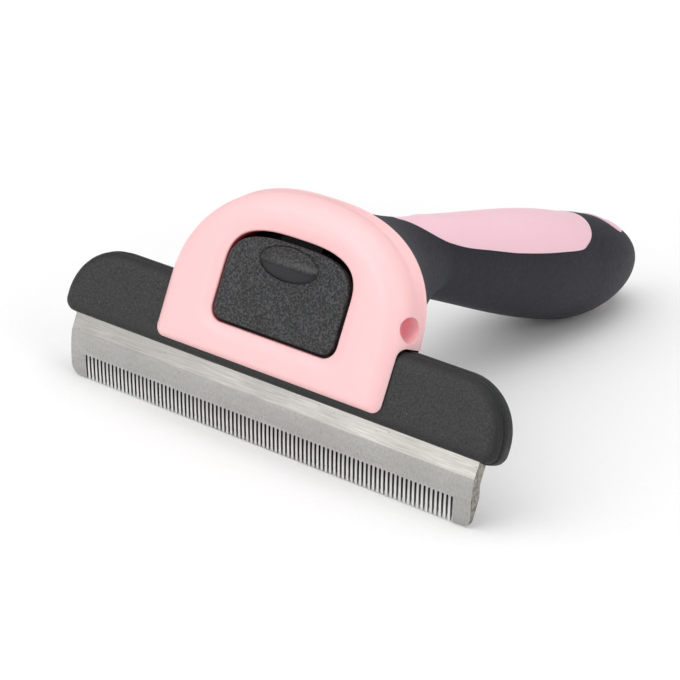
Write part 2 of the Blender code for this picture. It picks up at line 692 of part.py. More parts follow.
def handle_point(x, t, h):
    """A point beside (x) and above (h) the handle's axis at t."""
    y = NECK_Y + t * math.cos(SLOPE) + h * math.sin(SLOPE)
    z = NECK_Z - t * math.sin(SLOPE) + h * math.cos(SLOPE) + lift(t)
    return (x, y, z)


def ring_angles():
    """Direction of each point of the sleeve's D outline, seen from the middle of the D."""
    middle = (LIP_BOTTOM + RIM_TOP) / 2
    return [math.atan2(x, s - middle) for x, s in rim_outline()]


def flare_ease(angle):
    """How quickly the flare behind the head closes in: slower on its underside than above."""
    below = max(-math.cos(angle), 0.0)
    return FLARE_EASE + (FLARE_EASE_BELOW - FLARE_EASE) * below


def handle_rings(inset):
    """Rings of the handle's surface, from the D behind the shell's rim to the tip.

    The inset is how far the surface lies inside the grip's outer surface.
    """
    start = [head_point(x, SLEEVE_PLANE, s) for x, s in rim_outline(SLEEVE_INSET + inset)]
    angles = ring_angles()
    radius = handle_radius(0.0) - inset
    neck = [handle_point(radius * math.sin(a), 0.0, radius * math.cos(a)) for a in angles]
    rings = [start]
    for k in range(1, FLARE_STEPS):
        along = k / FLARE_STEPS
        ring = []
        for d, c, angle in zip(start, neck, angles):
            inward = 1 - (1 - along) ** flare_ease(angle)
            ring.append((d[0] + (c[0] - d[0]) * inward, d[1] + (c[1] - d[1]) * along,
                         d[2] + (c[2] - d[2]) * inward))
        rings.append(ring)
    shorten = 1 - inset / (TIP_T - END_T)
    for t in body_stations():
        radius = max(handle_radius(t) - inset, 0.6)
        place = t if t <= END_T else END_T + (t - END_T) * shorten
        rings.append([handle_point(radius * math.sin(a), place, radius * math.cos(a)) for a in angles])
    return rings


def smooth_outline(points, steps):
    """Points of a smooth curve through the given ones, both ends included."""
    ends = [points[0], *points, points[-1]]
    result = []
    for k in range(1, len(ends) - 2):
        p0, p1, p2, p3 = ends[k - 1:k + 3]
        for j in range(steps):
            u = j / steps
            result.append(tuple(0.5 * (2 * b + (c - a) * u + (2 * a - 5 * b + 4 * c - d) * u * u
                                       + (3 * b - a - 3 * c + d) * u ** 3)
                                for a, b, c, d in zip(p0, p1, p2, p3)))
    return result + [points[-1]]


def inlay_prism(name, extra, parent):
    """A prism through the top of the handle in the outline of the inlay."""
    side = smooth_outline(INLAY_POINTS, 3)
    outline = [(half + extra, t) for t, half in side]
    outline = [(0.0, side[0][0] - 1.2 - extra), *outline, (0.0, side[-1][0] + 0.5 + extra)]
    outline += [(-x, t) for x, t in reversed(outline[1:-1])]
    rings = [[handle_point(x, t, h) for x, t in outline] for h in (INLAY_FLOOR - extra, 40.0)]
    return add_skin(name, rings, parent)


def oval(half_width, half_length, power, sides=28):
    points = []
    for k in range(sides):
        angle = 2 * math.pi * k / sides
        c, s = math.cos(angle), math.sin(angle)
        points.append((half_width * math.copysign(abs(c) ** (2 / power), c),
                       half_length * math.copysign(abs(s) ** (2 / power), s)))
    return points


def eyelet_profile(extra):
    """Rings of the eyelet's outside: a wide oval head on a round tube, straight up and down."""
    centre_y = NECK_Y + EYELET_T * math.cos(SLOPE)
    head_oval = oval(EYELET_HALF_WIDTH + extra, EYELET_HALF_LENGTH + extra, EYELET_POWER)
    tube = oval(EYELET_TUBE + extra, EYELET_TUBE + extra, 2.0)
    levels = ((head_oval, 45.0 + extra), (head_oval, EYELET_SEAT - extra),
              (tube, EYELET_SEAT - extra), (tube, -12.0 - extra))
    return [[(x, centre_y + y, z) for x, y in outline] for outline, z in levels]


def hole_rings():
    centre_y = NECK_Y + EYELET_T * math.cos(SLOPE)
    circle = oval(HOLE_RADIUS, HOLE_RADIUS, 2.0)
    return [[(x, centre_y + y, z) for x, y in circle] for z in (-12.0, 45.0)]


def handle_core(tool, head, pink):
    """The hard core: a plate behind the cartridge, the neck and the inside of the grip."""
    core = add_skin("handle_core", handle_rings(RUBBER + FIT), tool, pink)
    recess_n = (SLEEVE_PLANE - 1.0, RECESS_BACK)
    recess_s = (RECESS_BOTTOM, CATCH_FOOT_BOTTOM)
    cut(core, box("catch_recess", (-RECESS_HALF, RECESS_HALF), recess_n, recess_s, head))
    for side, sign in (("left", -1), ("right", 1)):
        rib_x = sorted((sign * RIB_INNER, sign * RIB_OUTER))
        rib_n = (RIB_FRONT, SLEEVE_PLANE + RUBBER)
        join(core, box(f"guide_rib_{side}", rib_x, rib_n, (RIB_BOTTOM, RIB_TOP), head))
        pilot = ((SLEEVE_PLANE - 1.0, CATCH_HOLE), (14.2, CATCH_HOLE))
        cut(core, rod(f"catch_pilot_{side}", sign * CATCH_SCREW_X, CATCH_SCREW_S, pilot, head, sides=12))
    screw_wells(head, core)
    return core


def grip_sleeve(tool, black):
    """The soft sleeve over the core, open towards the head."""
    outer = handle_rings(0.0)
    inner = handle_rings(RUBBER)
    ring_count = len(outer)
    points, faces = [], []
    for rings in (outer, inner):
        points += [point for ring in rings for point in ring]
    count = len(outer[0])
    offset = ring_count * count
    for base, turned in ((0, False), (offset, True)):
        for r in range(ring_count - 1):
            for i in range(count):
                j = (i + 1) % count
                quad = (base + r * count + i, base + r * count + j,
                        base + (r + 1) * count + j, base + (r + 1) * count + i)
                faces.append(flipped(quad) if turned else quad)
    for i in range(count):
        j = (i + 1) % count
        faces.append((j, i, offset + i, offset + j))
    faces.append(tuple(range(offset - count, offset)))
    faces.append(tuple(reversed(range(len(points) - count, len(points)))))
    return make_object("grip_sleeve", points, facing_out(points, faces), tool, black)


def screw_wells(head, core):
    """Counterbored holes in the core for the shell screws, under the sleeve."""
    for index, (x, s) in enumerate(SHELL_SCREWS):
        shank = ((SLEEVE_PLANE - 1.0, SCREW_RADIUS + FIT), (SCREW_SEAT, SCREW_RADIUS + FIT),
                 (SCREW_SEAT, SCREW_HEAD_RADIUS + GAP), (40.0, SCREW_HEAD_RADIUS + GAP))
        cut(core, rod(f"screw_well_{index + 1}", x, s, shank, head, sides=16))


def build_handle(tool, head, materials):
    pink, inlay_pink, black = materials
    outer_form = add_skin("outer_form", handle_rings(0.0), tool)
    core_form = add_skin("core_form", handle_rings(RUBBER + FIT - GAP), tool)
    core = handle_core(tool, head, pink)
    sleeve = grip_sleeve(tool, black)
    cut(sleeve, inlay_prism("inlay_window", GAP, tool))
    eyelet_cutter = add_skin("eyelet_cutter", eyelet_profile(GAP), tool)
    cut(core, eyelet_cutter)
    cut(sleeve, eyelet_cutter)
    inlay = inlay_prism("top_inlay", 0.0, tool)
    show(inlay, inlay_pink)
    add_modifier(inlay, outer_form, "INTERSECT")
    cut(inlay, core_form)
    raised = [[(x, y, z + EYELET_PROUD) for x, y, z in ring] for ring in handle_rings(0.0)]
    eyelet = add_skin("hang_eyelet", eyelet_profile(0.0), tool, inlay_pink)
    add_modifier(eyelet, add_skin("raised_form", raised, tool), "INTERSECT")
    cut(eyelet, add_skin("hanging_hole", hole_rings(), tool))


def show(item, material):
    """Turns a guide into a visible piece."""
    item.hide_render = False
    item.hide_set(False)
    item.display_type = "TEXTURED"
    item.data.materials.append(material)
    item.data.shade_smooth()
    item.data.set_sharp_from_angle(angle=math.radians(35.0))


# ------------------------------------------------------------ assembly


def front_and_back():
    """The lowest and highest y of the tool, before it is centred."""
    lip = [head_point(0.0, depth, LIP_BOTTOM + inset * LIP_EASE) for inset, depth in crown_section()]
    tip = handle_rings(0.0)[-1]
    return min(point[1] for point in lip), max(point[1] for point in tip)


def add_empty(name, parent=None, place=(0.0, 0.0, 0.0)):
    empty = bpy.data.objects.new(name, None)
    bpy.context.collection.objects.link(empty)
    empty.parent = parent
    empty.location = [value * MM for value in place]
    return empty


def main():
    clear_scene()
    pink = make_material("pink_shell", PINK, 0.38)
    inlay_pink = make_material("pink_inlay", INLAY_PINK, 0.42)
    panel_black = make_material("grained_panel", PANEL_BLACK, 0.55)
    carrier_black = make_material("carrier_plastic", CARRIER_BLACK, 0.6)
    rubber = make_material("soft_rubber", RUBBER_BLACK, 0.75)
    steel = make_material("ground_steel", STEEL, 0.32, 1.0)
    spring_steel = make_material("plated_steel", SPRING_STEEL, 0.35, 1.0)

    front, back = front_and_back()
    tool = add_empty("deshedding_tool", place=(0.0, -(front + back) / 2, 0.0))
    head = add_empty("head_plane", tool, (0.0, FACE_SETBACK, HEAD_Z))
    head.rotation_euler = (-LEAN, 0.0, 0.0)
    hinge = add_empty("button_hinge_axis", head, (0.0, PIN_N, PIN_S))
    slide = add_empty("cartridge_slide_axis", head)

    front_shell(head, pink)
    release_button(head, hinge, panel_black)
    hinge_pin(head, spring_steel)
    catch_spring(head, spring_steel)
    catch_screws(head, spring_steel)
    shell_screws(head, spring_steel)
    carrier_front(head, slide, carrier_black)
    carrier_rear(head, slide, carrier_black)
    comb_blade(head, slide, steel)
    blade_rivets(slide, spring_steel)
    build_handle(tool, head, (pink, inlay_pink, rubber))


main()
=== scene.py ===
"""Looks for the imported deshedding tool: detailed meshes and materials that ride the CAD bodies.

Sizes are in millimetres unless a name says otherwise. Head coordinates are x along the blade,
n behind the face of the head and s up the face. Handle coordinates are t along the axis and h
above it.
"""

import math

import bpy
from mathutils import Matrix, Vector


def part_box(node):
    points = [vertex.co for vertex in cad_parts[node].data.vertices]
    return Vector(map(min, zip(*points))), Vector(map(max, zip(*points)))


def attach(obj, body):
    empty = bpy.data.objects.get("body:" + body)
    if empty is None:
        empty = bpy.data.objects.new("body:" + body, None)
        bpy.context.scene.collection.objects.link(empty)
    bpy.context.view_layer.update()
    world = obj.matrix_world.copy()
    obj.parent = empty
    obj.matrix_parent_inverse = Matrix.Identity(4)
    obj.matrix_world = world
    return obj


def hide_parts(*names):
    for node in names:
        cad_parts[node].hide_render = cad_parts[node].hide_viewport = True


MM = 0.001
ACROSS = Vector((1, 0, 0))

# Frame of the head
LEAN = math.radians(17.5)
PIN_S, PIN_N = 18.9, 4.45

# Front shell
LIP_BOTTOM, SHOULDER = 0.8, 13.5
CROWN = dict(half=29.35, bottom=LIP_BOTTOM, shoulder=SHOULDER, top=38.45, power=2.22, corner=2.6)
RIM = dict(half=29.2, bottom=LIP_BOTTOM, shoulder=SHOULDER, top=38.8, power=2.45, corner=2.6)
WINDOW = dict(half=15.5, bottom=8.3, shoulder=19.7, top=29.3, power=3.0, corner=3.0)
PANEL = dict(half=14.85, bottom=8.95, shoulder=19.7, top=28.0, power=3.0, corner=2.4)
CROWN_INSET, CROWN_DEPTH, LIP_EASE = 5.2, 6.2, 0.4
FACE_THICKNESS, WALL, RIM_DEPTH, CROWN_START = 2.3, 2.2, 9.0, 8.2
# The channel under the arch, where the cartridge goes in
ARCH_EDGE, ARCH_CORNER, ARCH_BACK, ARCH_BOTTOM, ARCH_HALF = 15.3, 2.0, 12.0, -4.0, 60.0
# The cheek bores, and the cups that close them inside the shell
BORE_RADIUS, BORE_FLOOR, BORE_MOUTH = 2.6, 23.8, 32.0
CUP_WALL, CUP_OUTER = 0.5, 26.95
PIN_RADIUS = 1.2
SADDLE_IN, SADDLE_OUT, SADDLE_BACK, SADDLE_HALF = 16.0, 18.4, 6.4, 2.3
BOSS_PLACES, BOSS_RADIUS = ((21.0, 18.7), (16.7, 28.2)), 2.3

# Release button
PANEL_FRONT, PANEL_BACK, PANEL_EDGE = 0.3, 2.25, 0.42
BUMP_CENTRE = (-0.1, 23.85)
BUMP_WIDTH, BUMP_HEIGHT, BUMP_RISE = 7.0, 3.4, 2.3
BUMP_RIDGE = -0.15
EAR_IN, EAR_OUT, EAR_RADIUS = 11.5, 14.9, 2.2
STOP_HALF, STOP_BOTTOM, STOP_TOP, STOP_BACK = 5.0, 26.6, 30.6, 3.7
PUSHER_HALF, PUSHER_BOTTOM, PUSHER_TOP, PUSHER_TIP = 2.8, 24.4, 26.2, 8.45

# Cartridge
WING_HALF, WING_TOP, WING_BOTTOM = 54.1, 14.7, -0.6
WING_CORNER, WING_HEEL, REAR_MARGIN = 11.6, 2.7, 0.3
FRONT_PLATE, REAR_PLATE = (2.6, 4.95), (5.25, 9.0)
SHOULDER_INSET, SHOULDER_DEPTH = 3.0, 2.05
TONGUE_HALF, TONGUE_BOTTOM, TONGUE_TOP, TONGUE_CORNER = 12.4, 12.8, 23.5, 2.2
NOTCH_HALF, NOTCH_BOTTOM, NOTCH_TOP, NOTCH_CORNER = 4.0, 18.4, 21.4, 0.4
RIVETS_X, RIVETS_S, RECESS_FLOOR, RECESS_RADIUS = (-38.0, -13.0, 13.0, 38.0), 4.4, 8.25, 2.8
BLADE_HALF, BLADE_FRONT, BLADE_BACK = 50.8, 4.6, 7.6
BLADE_TOP, RIDGE, SLOT_TOP, BLADE_TIP = 0.6, -4.2, -8.9, -14.0
HOLLOW, HOLLOW_POWER = 4.5, 1.35
BEND_TOP, BEND_BOTTOM, BEND, BACK_TAPER = -5.0, -7.6, 1.4, 0.35
SLOTS, SLOT_PITCH, SLOT_WIDTH, SLOT_FILLET = 90, 1.044, 0.5, 0.25
BLADE_CORNER = 2.0

# Handle
SLOPE = math.radians(13.4)
NECK_Y = 55.75
THIN_RADIUS, THIN_T = 8.4, -18.7
BELLY_RADIUS, BELLY_T = 13.6, 63.6
END_T, TIP_T, END_POWER = 71.3, 109.9, 1.82
LIFT_T, LIFT_SPAN, LIFT, LIFT_POWER = 68.0, 40.0, 4.1, 1.5
FACE_SETBACK = -2.43
SLEEVE_PLANE, SLEEVE_INSET = 9.3, 0.4
FLARE_EASE, FLARE_EASE_BELOW = 1.6, 1.1
INLAY_POINTS = ((-12.6, 1.2), (-11.0, 3.3), (-8.6, 5.3), (-4.4, 6.9), (3.8, 8.2), (14.9, 9.3),
                (29.4, 10.7), (43.7, 11.6), (57.4, 11.75), (62.8, 10.9), (67.2, 9.2), (70.4, 6.6),
                (72.3, 3.8), (73.2, 1.4))
EYELET_T, EYELET_WIDTH, EYELET_LENGTH, HOLE_RADIUS = 92.8, 6.3, 5.0, 3.0
EYELET_PROUD, EYELET_SEAT, EYELET_TUBE, EYELET_POWER = 0.25, 15.0, 4.4, 2.2

# Camera
CAMERA_PLACE = (0.215332, -0.400726, 0.167382)
CAMERA_TURN = (69.694, -6.988, 34.329)
CAMERA_LENS = 108.53


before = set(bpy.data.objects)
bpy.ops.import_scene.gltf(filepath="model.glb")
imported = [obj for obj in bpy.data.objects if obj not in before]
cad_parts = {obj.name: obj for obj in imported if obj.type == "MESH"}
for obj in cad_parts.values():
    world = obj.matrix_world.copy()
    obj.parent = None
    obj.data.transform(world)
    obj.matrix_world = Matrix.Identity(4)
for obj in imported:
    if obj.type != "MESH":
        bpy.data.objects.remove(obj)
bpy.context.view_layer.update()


# ------------------------------------------------------------ geometry


def pin_centre():
    a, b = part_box("hinge_pin")
    return (a + b) / (2 * MM)


UP_FACE = Vector((0, math.sin(LEAN), math.cos(LEAN)))
INTO_FACE = Vector((0, math.cos(LEAN), -math.sin(LEAN)))
HEAD = pin_centre() - UP_FACE * PIN_S - INTO_FACE * PIN_N
SHIFT = HEAD.y - FACE_SETBACK


def head_point(x, n, s):
    return HEAD + Vector((x, 0, 0)) + INTO_FACE * n + UP_FACE * s


def arc(centre, radius, start, end, steps):
    """Points on an arc, with its start and end angles in degrees."""
    result = []
    for k in range(steps + 1):
        angle = math.radians(start + (end - start) * k / steps)
        result.append((centre[0] + radius * math.cos(angle), centre[1] + radius * math.sin(angle)))
    return result


def circle(centre, radius, count):
    return arc(centre, radius, 0, 360 * (count - 1) / count, count - 1)


def d_outline(shape, inset=0.0, ease=1.0):
    """Closed outline (x, s) of a D, with the same count of points for every shape and inset."""
    half, top, bottom = shape["half"] - inset, shape["top"] - inset, shape["bottom"] + inset * ease
    corner, shoulder = max(shape["corner"] - inset * ease, 0.7), shape["shoulder"]
    right = [((half - corner) * k / 14, bottom) for k in range(14)]
    right += arc((half - corner, bottom + corner), corner, -90, 0, 10)
    start = bottom + corner
    right += [(half, start + (shoulder - start) * k / 14) for k in range(1, 14)]
    for k in range(48):
        angle = math.radians(90 * k / 48)
        across = math.cos(angle) ** (2 / shape["power"])
        up = math.sin(angle) ** (2 / shape["power"])
        right.append((half * across, shoulder + (top - shoulder) * up))
    return right + [(0.0, top)] + [(-x, s) for x, s in reversed(right[1:])]


def mixed(a, b, share):
    return [(p[0] + (q[0] - p[0]) * share, p[1] + (q[1] - p[1]) * share) for p, q in zip(a, b)]


def at_depth(outline, n):
    return [head_point(x, n, s) for x, s in outline]


def skin(rings, ring_shaped=False):
    """Points and faces through the rings, closed by two caps or round on itself."""
    count = len(rings[0])
    points = [point for ring in rings for point in ring]
    faces = []
    for r in range(len(rings) if ring_shaped else len(rings) - 1):
        a, b = r * count, (r + 1) % len(rings) * count
        for i in range(count):
            j = (i + 1) % count
            faces.append((a + i, a + j, b + j, b + i))
    if not ring_shaped:
        faces.append(tuple(reversed(range(count))))
        faces.append(tuple(range(len(points) - count, len(points))))
    return points, faces


def joined(shells):
    """Several closed meshes as one list of points and one of faces."""
    points, faces = [], []
    for some_points, some_faces in shells:
        faces += [tuple(i + len(points) for i in face) for face in some_faces]
        points += some_points
    return points, faces


def prism(outline, x0, x1):
    """Points and faces of an outline (n, s) drawn out across the head."""
    return skin([[head_point(x, n, s) for n, s in outline] for x in (x0, x1)])


def make(name, points, faces, material=None, sharp=40.0):
    mesh = bpy.data.meshes.new(name)
    mesh.from_pydata([Vector(p) * MM for p in points], [], faces)
    mesh.update()
    item = bpy.data.objects.new(name, mesh)
    bpy.context.scene.collection.objects.link(item)
    turn_out(mesh)
    if material:
        mesh.materials.append(material)
    mesh.shade_smooth()
    mesh.set_sharp_from_angle(angle=math.radians(sharp))
    return item


def turn_out(mesh):
    """Flips the faces of a mesh that is inside out."""
    volume = 0.0
    for polygon in mesh.polygons:
        corners = [mesh.vertices[i].co for i in polygon.vertices]
        for k in range(1, len(corners) - 1):
            volume += corners[0].dot(corners[k].cross(corners[k + 1]))
    if volume < 0:
        mesh.flip_normals()


def cut_with(item, cutters, operation="DIFFERENCE", sharp=40.0):
    """Applies Booleans and removes the cutters."""
    for cutter in cutters:
        modifier = item.modifiers.new(cutter.name, "BOOLEAN")
        modifier.operation = operation
        modifier.solver = "EXACT"
        modifier.object = cutter
    bpy.context.view_layer.update()
    graph = bpy.context.evaluated_depsgraph_get()
    mesh = bpy.data.meshes.new_from_object(item.evaluated_get(graph))
    item.modifiers.clear()
    item.data = mesh
    for cutter in cutters:
        bpy.data.objects.remove(cutter, do_unlink=True)
    mesh.shade_smooth()
    mesh.set_sharp_from_angle(angle=math.radians(sharp))
    return item


def finish_piece(item, body, slot, *nodes):
    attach(item, body)
    if nodes:
        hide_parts(*nodes)
    return item


# ----------------------------------------------------------- materials


class Nodes:
    """A short way to build a node tree."""

    def __init__(self, name):
        self.material = bpy.data.materials.new(name)
        self.material.use_nodes = True
        self.tree = self.material.node_tree
        self.shader = self.tree.nodes["Principled BSDF"]
        self.place = self.new("ShaderNodeTexCoord").outputs["Object"]
        self.normal = self.new("ShaderNodeTexCoord").outputs["Normal"]

    def new(self, kind, **settings):
        node = self.tree.nodes.new(kind)
        for key, value in settings.items():
            setattr(node, key, value)
        return node

    def link(self, a, b):
        self.tree.links.new(a, b)

    def put(self, name, value):
        self.shader.inputs[name].default_value = value

    def stretched(self, scale, turn=(0, 0, 0)):
        mapping = self.new("ShaderNodeMapping")
        mapping.inputs["Rotation"].default_value = turn
        mapping.inputs["Scale"].default_value = scale
        self.link(self.place, mapping.inputs["Vector"])
        return mapping.outputs["Vector"]

    def noise(self, scale, detail=3.0, rough=0.55, vector=None):
        node = self.new("ShaderNodeTexNoise")
        node.inputs["Scale"].default_value = scale
        node.inputs["Detail"].default_value = detail
        node.inputs["Roughness"].default_value = rough
        self.link(vector or self.place, node.inputs["Vector"])
        return node.outputs["Fac"]

    def spots(self, scale, size, vector=None):
        node = self.new("ShaderNodeTexVoronoi")
        node.inputs["Scale"].default_value = scale
        self.link(vector or self.place, node.inputs["Vector"])
        return self.spread(node.outputs["Distance"], 0.0, size, 1.0, 0.0)

    def drive(self, name, value):
        self.link(value, self.shader.inputs[name])

    def spread(self, value, from_low, from_high, to_low, to_high):
        """Clamped linear map of a value."""
        node = self.new("ShaderNodeMapRange")
        for name, number in (("From Min", from_low), ("From Max", from_high),
                             ("To Min", to_low), ("To Max", to_high)):
            node.inputs[name].default_value = number
        self.link(value, node.inputs["Value"])
        return node.outputs["Result"]

    def mask(self, value, outside, inside):
        """0 at the outside value, 1 at the inside one."""
        return self.spread(value, outside, inside, 0.0, 1.0)

    def both(self, a, b):
        return self.maths("MULTIPLY", a, b)

    def maths(self, operation, a, b=0.0):
        node = self.new("ShaderNodeMath", operation=operation)
        for socket, value in zip(node.inputs, (a, b)):
            if isinstance(value, (int, float)):
                socket.default_value = value
            else:
                self.link(value, socket)
        return node.outputs["Value"]

    def mix(self, share, a, b):
        node = self.new("ShaderNodeMix", data_type="RGBA")
        if isinstance(share, (int, float)):
            node.inputs["Factor"].default_value = share
        else:
            self.link(share, node.inputs["Factor"])
        for name, value in (("A", a), ("B", b)):
            socket = [i for i in node.inputs if i.name == name and i.type == "RGBA"][0]
            if isinstance(value, tuple):
                socket.default_value = (*value, 1.0)
            else:
                self.link(value, socket)
        return [o for o in node.outputs if o.type == "RGBA"][0]

    def along(self, direction, origin):
        """Distance in millimetres from the origin along a direction, in the piece's own frame."""
        away = self.new("ShaderNodeVectorMath", operation="SUBTRACT")
        away.inputs[1].default_value = origin * MM
        self.link(self.place, away.inputs[0])
        dot = self.new("ShaderNodeVectorMath", operation="DOT_PRODUCT")
        dot.inputs[1].default_value = direction / MM
        self.link(away.outputs["Vector"], dot.inputs[0])
        return dot.outputs["Value"]

    def sideways(self, origin):
        """Distance in millimetres to the left or right of the origin."""
        return self.maths("ABSOLUTE", self.along(ACROSS, origin))

    def square_sum(self, a, b):
        return self.maths("ADD", self.maths("MULTIPLY", a, a), self.maths("MULTIPLY", b, b))

    def bump(self, height, strength, distance, edge=None):
        node = self.new("ShaderNodeBump")
        node.inputs["Strength"].default_value = strength
        node.inputs["Distance"].default_value = distance * MM
        self.link(height, node.inputs["Height"])
        if edge:
            bevel = self.new("ShaderNodeBevel", samples=4)
            bevel.inputs["Radius"].default_value = edge * MM
            self.link(bevel.outputs["Normal"], node.inputs["Normal"])
        self.link(node.outputs["Normal"], self.shader.inputs["Normal"])


def bore_painted_shade(m, base, colour):
    """Painted shade: a deeper, redder pink inside the cheek bores, standing in for light bounced round the
    hollow.
    """
    pin = pin_centre()
    from_pin = m.square_sum(m.along(INTO_FACE, pin), m.along(UP_FACE, pin))
    inside = m.mask(from_pin, (BORE_RADIUS + 0.12) ** 2, (BORE_RADIUS - 0.05) ** 2)
    return m.mix(m.both(inside, m.mask(m.sideways(pin), 28.6, 26.0)), base, colour)


def gap_painted_shade(m, base):
    """Painted shade and glow: dark red on the shell's walls deep in the gap round the button, standing in
    for the shade there and for light glowing through the plastic.
    """
    wide = m.mask(m.sideways(HEAD), 17.0, 16.0)
    tall = m.mask(m.maths("ABSOLUTE", m.along(UP_FACE, HEAD + UP_FACE * 18.8)), 12.2, 11.2)
    deep = m.mask(m.along(INTO_FACE, HEAD), 0.85, 1.35)
    return m.mix(m.both(m.both(wide, tall), deep), base, (0.50, 0.045, 0.055))


def pink_plastic(name, colour, shade, roughness, depth, bore=None):
    m = Nodes(name)
    base = m.mix(m.mask(m.noise(60, 2), 0.3, 0.7), colour, shade)
    # With a bore colour, painted shade goes in: a deeper, redder pink in the cheek bores and dark red in
    # the gap round the button.
    if bore:
        base = gap_painted_shade(m, bore_painted_shade(m, base, bore))
    m.drive("Base Color", base)
    m.drive("Roughness", m.spread(m.noise(240, 4), 0.3, 0.7, roughness - 0.05, roughness + 0.06))
    m.put("Subsurface Weight", 0.25)
    m.put("Subsurface Radius", (1.0, 0.28, 0.22))
    m.put("Subsurface Scale", depth * MM)
    m.put("Specular IOR Level", 0.42)
    m.bump(m.noise(1800, 3), 0.18, 0.02, edge=0.18)
    return m.material


def leather_grain(m):
    cells = m.new("ShaderNodeTexVoronoi", feature="SMOOTH_F1")
    cells.inputs["Scale"].default_value = 2500
    m.link(m.place, cells.inputs["Vector"])
    fine = m.both(m.noise(2900, 3, 0.65), 0.9)
    return m.maths("ADD", m.both(cells.outputs["Distance"], 0.8), fine)


def grained_panel():
    """Leather grain with painted shade in its hollows, a smooth facet on the lower half of the thumb bump
    painted darker as shade, and a painted highlight along the ridge's right side.
    """
    m = Nodes("grained_panel_black")
    grain = leather_grain(m)
    centre = HEAD + ACROSS * BUMP_CENTRE[0] + UP_FACE * BUMP_CENTRE[1]
    a = m.maths("DIVIDE", m.along(ACROSS, centre), BUMP_WIDTH)
    b = m.maths("DIVIDE", m.along(UP_FACE, centre), BUMP_HEIGHT)
    inside = m.mask(m.square_sum(a, b), 1.06, 0.97)
    facet = m.both(inside, m.mask(b, BUMP_RIDGE + 0.12, BUMP_RIDGE - 0.10))
    # Painted highlight: lighter along the bump's ridge, stronger on its right, lit side.
    from_ridge = m.maths("ABSOLUTE", m.maths("SUBTRACT", b, BUMP_RIDGE + 0.28))
    lit_side = m.both(inside, m.spread(a, -0.6, 0.6, 0.0, 0.5))
    ridge = m.both(m.mask(from_ridge, 0.30, 0.0), lit_side)
    # Grain tone with painted shade: darker in the grain's hollows and lighter on its tops.
    base = m.mix(m.mask(grain, 0.66, 0.98), (0.007, 0.0075, 0.0085), (0.062, 0.063, 0.066))
    base = m.mix(ridge, base, (0.105, 0.106, 0.108))
    # Painted shade: the downward-facing facet is painted darker.
    m.drive("Base Color", m.mix(facet, base, (0.0095, 0.0098, 0.0125)))
    roughness = m.spread(m.noise(900, 3), 0.3, 0.7, 0.42, 0.62)
    m.drive("Roughness", m.mix(facet, roughness, (0.48, 0.48, 0.48)))
    m.put("Specular IOR Level", 0.45)
    m.bump(m.both(grain, m.spread(facet, 0.0, 1.0, 1.0, 0.06)), 1.0, 0.34, edge=0.12)
    return m.material


def carrier_plastic():
    """Fine matt grain with a few pale specks and painted shade in the grain's hollows, and painted shade
    on the rounded shoulders, darker where the surface turns away from the front.
    """
    m = Nodes("carrier_black")
    fine = m.noise(2900, 3, 0.6)
    cloud = m.mask(m.noise(30, 3), 0.35, 0.65)
    # Grain tone with painted shade: darker in the hollows of the fine grain and lighter on its tops.
    base = m.mix(m.mask(fine, 0.40, 0.62), (0.008, 0.0083, 0.0083), (0.038, 0.039, 0.038))
    base = m.mix(m.both(cloud, 0.35), base, (0.017, 0.018, 0.0175))
    # Painted shade: darker where the surface normal turns away from the front, on the rounded shoulders.
    forward = m.new("ShaderNodeVectorMath", operation="DOT_PRODUCT")
    forward.inputs[1].default_value = -INTO_FACE
    m.link(m.normal, forward.inputs[0])
    rounded = m.spread(forward.outputs["Value"], 0.985, 0.80, 0.0, 0.9)
    base = m.mix(rounded, base, (0.0045, 0.0048, 0.0052))
    m.drive("Base Color", m.mix(m.spots(190, 0.032), base, (0.22, 0.22, 0.21)))
    m.drive("Roughness", m.spread(m.noise(1500, 2), 0.3, 0.7, 0.48, 0.64))
    m.put("Specular IOR Level", 0.45)
    m.bump(fine, 1.0, 0.12, edge=0.15)
    return m.material


def gap_shade_black():
    """The button's back, hidden except through the gap round the panel: painted darker than its face as
    shade there, and smoother.
    """
    m = Nodes("gap_shade_black")
    m.drive("Base Color", m.mix(m.noise(600, 3), (0.003, 0.003, 0.003), (0.007, 0.007, 0.007)))
    m.put("Roughness", 0.6)
    m.put("Specular IOR Level", 0.15)
    m.bump(m.noise(1500, 2), 0.2, 0.02)
    return m.material


def soft_rubber():
    m = Nodes("soft_rubber_black")
    tone = m.mask(m.noise(25, 3), 0.35, 0.65)
    m.drive("Base Color", m.mix(tone, (0.0102, 0.0104, 0.0175), (0.0128, 0.0130, 0.0215)))
    m.drive("Roughness", m.spread(m.noise(900, 3), 0.3, 0.7, 0.56, 0.68))
    m.put("Sheen Weight", 0.015)
    m.put("Sheen Roughness", 0.5)
    m.put("Specular IOR Level", 0.27)
    m.bump(m.noise(3600, 2), 0.12, 0.010, edge=0.25)
    return m.material


def ground_lines(m, strip):
    """Lengthwise brushing on the strip above the ridge, crossed grinding below it."""
    lengthwise = m.noise(1.0, 5, 0.65, m.stretched((160, 5200, 5200)))
    downwards = m.noise(1.0, 5, 0.65, m.stretched((4600, 1100, 1100)))
    slanted = m.noise(1.0, 4, 0.6, m.stretched((2600, 900, 900), (0.0, 0.5, 0.0)))
    crossed = m.maths("ADD", m.both(lengthwise, 0.30), m.both(downwards, 0.40))
    crossed = m.maths("ADD", crossed, m.both(slanted, 0.30))
    below = m.maths("SUBTRACT", 1.0, strip)
    return m.maths("ADD", m.both(lengthwise, strip), m.both(crossed, below))


